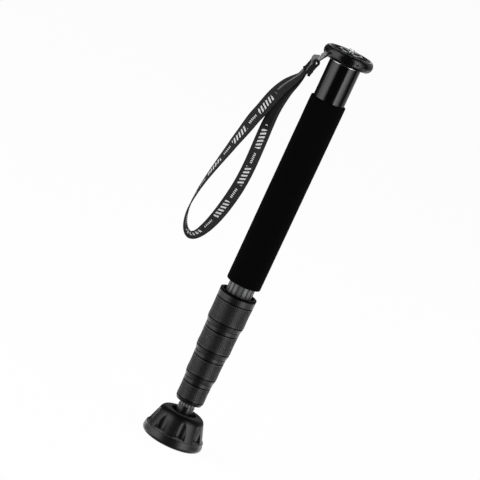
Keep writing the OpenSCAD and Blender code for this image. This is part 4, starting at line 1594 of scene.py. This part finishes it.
@dataclass(frozen=True)
class CameraHead(Assembly):
    """Camera plate with its pad, dark flange in a bright ring, and slotted, threaded screw."""

    nose: float = 6.2
    nose_reach: float = 17.6
    half: float = 4.3
    studs: Studs = Studs(pitch=1.3, step=0.66, high=0.1, wide=0.46, tall=0.9, top=0.86)
    stud_sink: float = 0.02
    screw_turn: float = 24.5
    slot_turn: float = -44.5
    gap: float = 2.4
    thread_root: float = 2.56
    thread_ridge: float = 0.6
    thread_pitch: float = 1.27
    thread_ends: tuple[float, float] = (0.1, 0.45)
    screw_slot: tuple[float, float] = (1.2, 1.4)
    screw_chamfer: float = 0.35
    shank: float = 4.7
    ring_reach: tuple[float, float] = (8.9, 11.2)
    ring_rise: tuple[float, float] = (0.4, 0.8)
    ring_round: tuple[float, float] = (0.25, 0.3)

    def rim_place(self, turn: float) -> tuple[float, float]:
        """Place on the rim's widest line at a turn from the front."""
        reach, angle = self.nose_reach + self.nose, math.radians(turn)
        return reach * math.sin(angle), -reach * math.cos(angle)

    def knurl(self) -> bpy.types.Object:
        """Fine studs over the plate's rounded side.

        Returns:
            The knurl.
        """
        span = 2 * math.asin(self.half / self.nose) * self.nose
        low, high = box_mm("camera_plate")
        sizes = self.studs.sizes(self.nose_reach + self.nose, span)
        sizes |= {"Radius": self.nose_reach, "Nose": self.nose - self.stud_sink}
        sizes |= {"Middle": (low.z + high.z) / 2, "Gap": self.gap}
        for name, turn in (("Screw", self.screw_turn), ("Slot", self.slot_turn)):
            sizes[name + " X"], sizes[name + " Y"] = self.rim_place(turn)
        return NoseStuds(Look.PLATE).grow("plate_knurl", bpy.data.meshes.new("knurl start"), sizes)

    def screw(self, around: int = 48) -> bpy.types.Object:
        """Slotted camera screw with its thread.

        Args:
            around: Steps round the axis.

        Returns:
            The screw.
        """
        low, high = box_mm("camera_screw")
        root, flange, edge = self.thread_root, box_mm("screw_flange")[1].z, self.screw_chamfer
        profile = [(self.shank, low.z), (self.shank, flange), (root, flange)]
        profile += [(root, high.z - edge), (root - edge, high.z)]
        ring, faces = turned(profile, around)
        rows = len(profile)
        faces = [f for f in faces if not {f[0] % rows, f[3] % rows} == {0, rows - 1}]
        for end in (0, rows - 1):
            faces.append([i * rows + end for i in range(around)])
        below, above = self.thread_ends
        height = high.z - above - self.thread_ridge - flange
        sizes = {
            "Turns": height / self.thread_pitch,
            "Start": flange + below,
            "Height": height,
            "Root": root,
            "Ridge": self.thread_ridge,
            "Slot": self.screw_slot[0],
            "Slot Depth": self.screw_slot[1],
        }
        return ScrewThread(Look.BRIGHT).grow("threaded_screw", closed_mesh(ring, faces, "screw core"), sizes)

    def flange_ring(self) -> bpy.types.Object:
        """Bright ring of the screw's flange, a little above the pad.

        Returns:
            The ring.
        """
        pad = box_mm("plate_pad")[1].z
        inner, outer = self.ring_reach
        low, high = pad - self.ring_rise[0], pad + self.ring_rise[1]
        soft, blunt = self.ring_round
        profile = [(inner, low), (outer, low), (outer, high - blunt), (outer - blunt, high)]
        profile += [(inner + soft, high), (inner, high - soft)]
        return turned_piece("flange_ring", Look.STEEL, [profile])

    def build(self) -> None:
        """Dress the plate and add its knurl, flange ring and screw."""
        self.seat(self.knurl(), Body.UPPER, "plate_black")
        self.seat(self.screw(), Body.UPPER, "bright_metal", "camera_screw")
        self.seat(self.flange_ring(), Body.UPPER, "bright_metal")
        self.dress(
            {
                "camera_plate": Look.PLATE,
                "plate_pad": Look.PAD,
                # Painted dark reflection: the flange is dressed near-black and dull, standing in for the
                # dark reflection seen on it.
                "screw_flange": Look.SHADE_BLACK,
                "plate_spigot": Look.BRIGHT,
                "set_screw": Look.COLLAR,
            }
        )


@dataclass(frozen=True)
class Leg(Assembly):
    """The nested sections with their twist locks and bushes."""

    tubes: tuple[Look, ...] = (Look.TUBE, *(Look.FLUTED,) * 4, Look.PALE)

    def build(self) -> None:
        """Dress the tubes and what is inside them."""
        looks = {f"tube_{number}": look for number, look in enumerate(self.tubes, 1)}
        for number in range(2, 7):
            looks |= {f"lock_core_{number}": Look.ALLOY, f"lock_sleeve_{number}": Look.SLEEVE}
        looks |= {f"guide_bush_{number}": Look.NYLON for number in range(2, 6)}
        self.dress({**looks, "mouth_bush": Look.NYLON})


@dataclass(frozen=True)
class Foot(Assembly):
    """Tilting rubber foot on its ball stud."""

    def build(self) -> None:
        """Dress the foot's parts."""
        looks = dict.fromkeys(("foot_socket", "socket_cap", "foot_liner"), Look.NYLON)
        looks |= dict.fromkeys(("tilt_pin", "ball_stud"), Look.STEEL)
        self.dress({"rubber_foot": Look.SOLE, "foot_ferrule": Look.FERRULE, **looks})


@dataclass(frozen=True)
class Panel:
    """A soft box beside the monopod."""

    label: str
    azimuth: float
    half_angle: float
    radiance: float
    low: float = -1.1
    high: float = 2.5
    distance: float = 1.5

    def build(self, aim: Vector) -> None:
        """Make the light.

        Args:
            aim: Point that the light faces, at its own height.
        """
        turn = math.radians(self.azimuth)
        out = Vector((math.sin(turn), -math.cos(turn), 0))
        lamp = bpy.data.lights.new(self.label, "AREA")
        lamp.shape = "RECTANGLE"
        lamp.size = 2 * self.distance * math.tan(math.radians(self.half_angle))
        lamp.size_y = self.high - self.low
        lamp.energy = self.radiance * math.pi * lamp.size * lamp.size_y
        up = Vector((0, 0, 1))
        centre = Vector((aim.x, aim.y, (self.low + self.high) / 2)) + out * self.distance
        made = linked(self.label, lamp)
        made.matrix_world = standing(centre, up.cross(out), up, out)
        made.visible_camera = False


@dataclass(frozen=True)
class Studio:
    """White floor, soft boxes, sky and the photograph's camera."""

    reach: float = 2800.0
    elevation: float = 11.3
    roll: float = 24.902
    target: tuple[float, float, float] = (-19.66, 0.0, 198.58)
    lens: float = 230.3
    sensor: float = 36.0
    clip: float = 50.0
    aim: tuple[float, float, float] = (0.0, 0.0, 0.2)
    floor_half: float = 9.0
    floor_tone: float = 0.05
    floor_rough: float = 0.9
    floor_glow: float = 0.965
    fill: float = 0.05
    gloss_fill: float = 0.02
    panels: tuple[Panel, ...] = (
        Panel("left soft box, far edge", -106.0, 8.0, 0.25),
        Panel("left soft box, outer part", -87.0, 11.0, 1.5),
        Panel("left soft box, middle", -60.0, 16.0, 2.4, low=-0.1),
        Panel("left low box, front part", -60.0, 16.0, 1.6, high=-0.1),
        Panel("left soft box, inner edge", -39.5, 5.0, 1.2),
        Panel("right soft box, inner part", 46.0, 10.0, 3.3),
        Panel("right soft box, middle", 64.0, 8.0, 2.1),
        Panel("right soft box, outer edge", 79.0, 7.0, 0.5),
        Panel("back soft box, side part", 120.0, 12.0, 0.4),
        Panel("back soft box, middle", 147.0, 15.0, 0.5),
        Panel("back soft box, high part", 180.0, 20.0, 1.2, low=0.52, high=0.9),
        Panel("left low box, side part", -114.0, 10.0, 1.4, high=-0.1),
        Panel("left low box, back part", -143.0, 14.0, 1.7, high=-0.1),
        Panel("right low box, side part", 98.0, 11.0, 1.4, high=-0.1),
        Panel("right low box, back part", 138.0, 14.0, 1.1, high=-0.1),
    )

    def camera(self) -> None:
        """Long lens from the front, slightly above, rolled to one side."""
        tilt, roll = math.radians(self.elevation), math.radians(self.roll)
        back = Vector((0, -math.cos(tilt), math.sin(tilt)))
        right = Vector((1, 0, 0))
        up = back.cross(right)
        across = right * math.cos(roll) + up * math.sin(roll)
        rise = up * math.cos(roll) - right * math.sin(roll)
        lens = bpy.data.cameras.new("camera")
        lens.lens, lens.sensor_width, lens.sensor_fit = self.lens, self.sensor, "HORIZONTAL"
        lens.clip_end = self.clip
        made = linked("camera", lens)
        made.matrix_world = standing((Vector(self.target) + back * self.reach) * MM, across, rise, back)
        bpy.context.scene.camera = made
        bpy.context.scene.view_settings.view_transform = "Standard"

    def floor(self) -> None:
        """Plain white floor that glows enough to fade into the background."""
        half = self.floor_half
        mesh = bpy.data.meshes.new("floor")
        corners = [(-half, -half, 0), (half, -half, 0), (half, half, 0), (-half, half, 0)]
        mesh.from_pydata(corners, [], [(0, 1, 2, 3)])
        shade = Shade("white floor")
        shade.set(
            Base_Color=(self.floor_tone, self.floor_tone, self.floor_tone, 1),
            Roughness=self.floor_rough,
            Emission_Color=(1, 1, 1, 1),
            Emission_Strength=self.floor_glow,
            Specular_IOR_Level=0.0,
        )
        mesh.materials.append(shade.material)
        made = linked("floor", mesh)
        made.visible_glossy = False
        made.visible_diffuse = False
        made.visible_shadow = False

    def sky(self) -> None:
        """White behind the object, dimmer as light and nearly dark in reflections."""
        world = bpy.data.worlds.new("studio")
        world.use_nodes = True
        bpy.context.scene.world = world
        sky = Tree(world.node_tree)
        ground = sky.find("BACKGROUND")
        path = sky.node("ShaderNodeLightPath")
        camera, glossy = path.other("Is Camera Ray"), path.other("Is Glossy Ray")
        strength = camera * (1.0 - self.fill) + glossy * (self.gloss_fill - self.fill) + self.fill
        sky.feed(ground.inputs["Strength"], strength)
        ground.inputs["Color"].default_value = (1, 1, 1, 1)

    def build(self) -> None:
        """Set up the camera, floor, light and sky."""
        self.camera()
        self.floor()
        self.sky()
        for panel in self.panels:
            panel.build(Vector(self.aim))
        LOG.info("studio with %d soft boxes", len(self.panels))


def main() -> None:
    """Build the studio and every sub-assembly in order."""
    logging.basicConfig(level=logging.INFO, format="%(name)s: %(message)s")
    for assembly in (Studio(), WristStrap(), FoamGrip(), Collars(), CameraHead(), Leg(), Foot()):
        assembly.build()
        LOG.info("built %s", type(assembly).__name__)


if __name__ == "__main__":
    main()
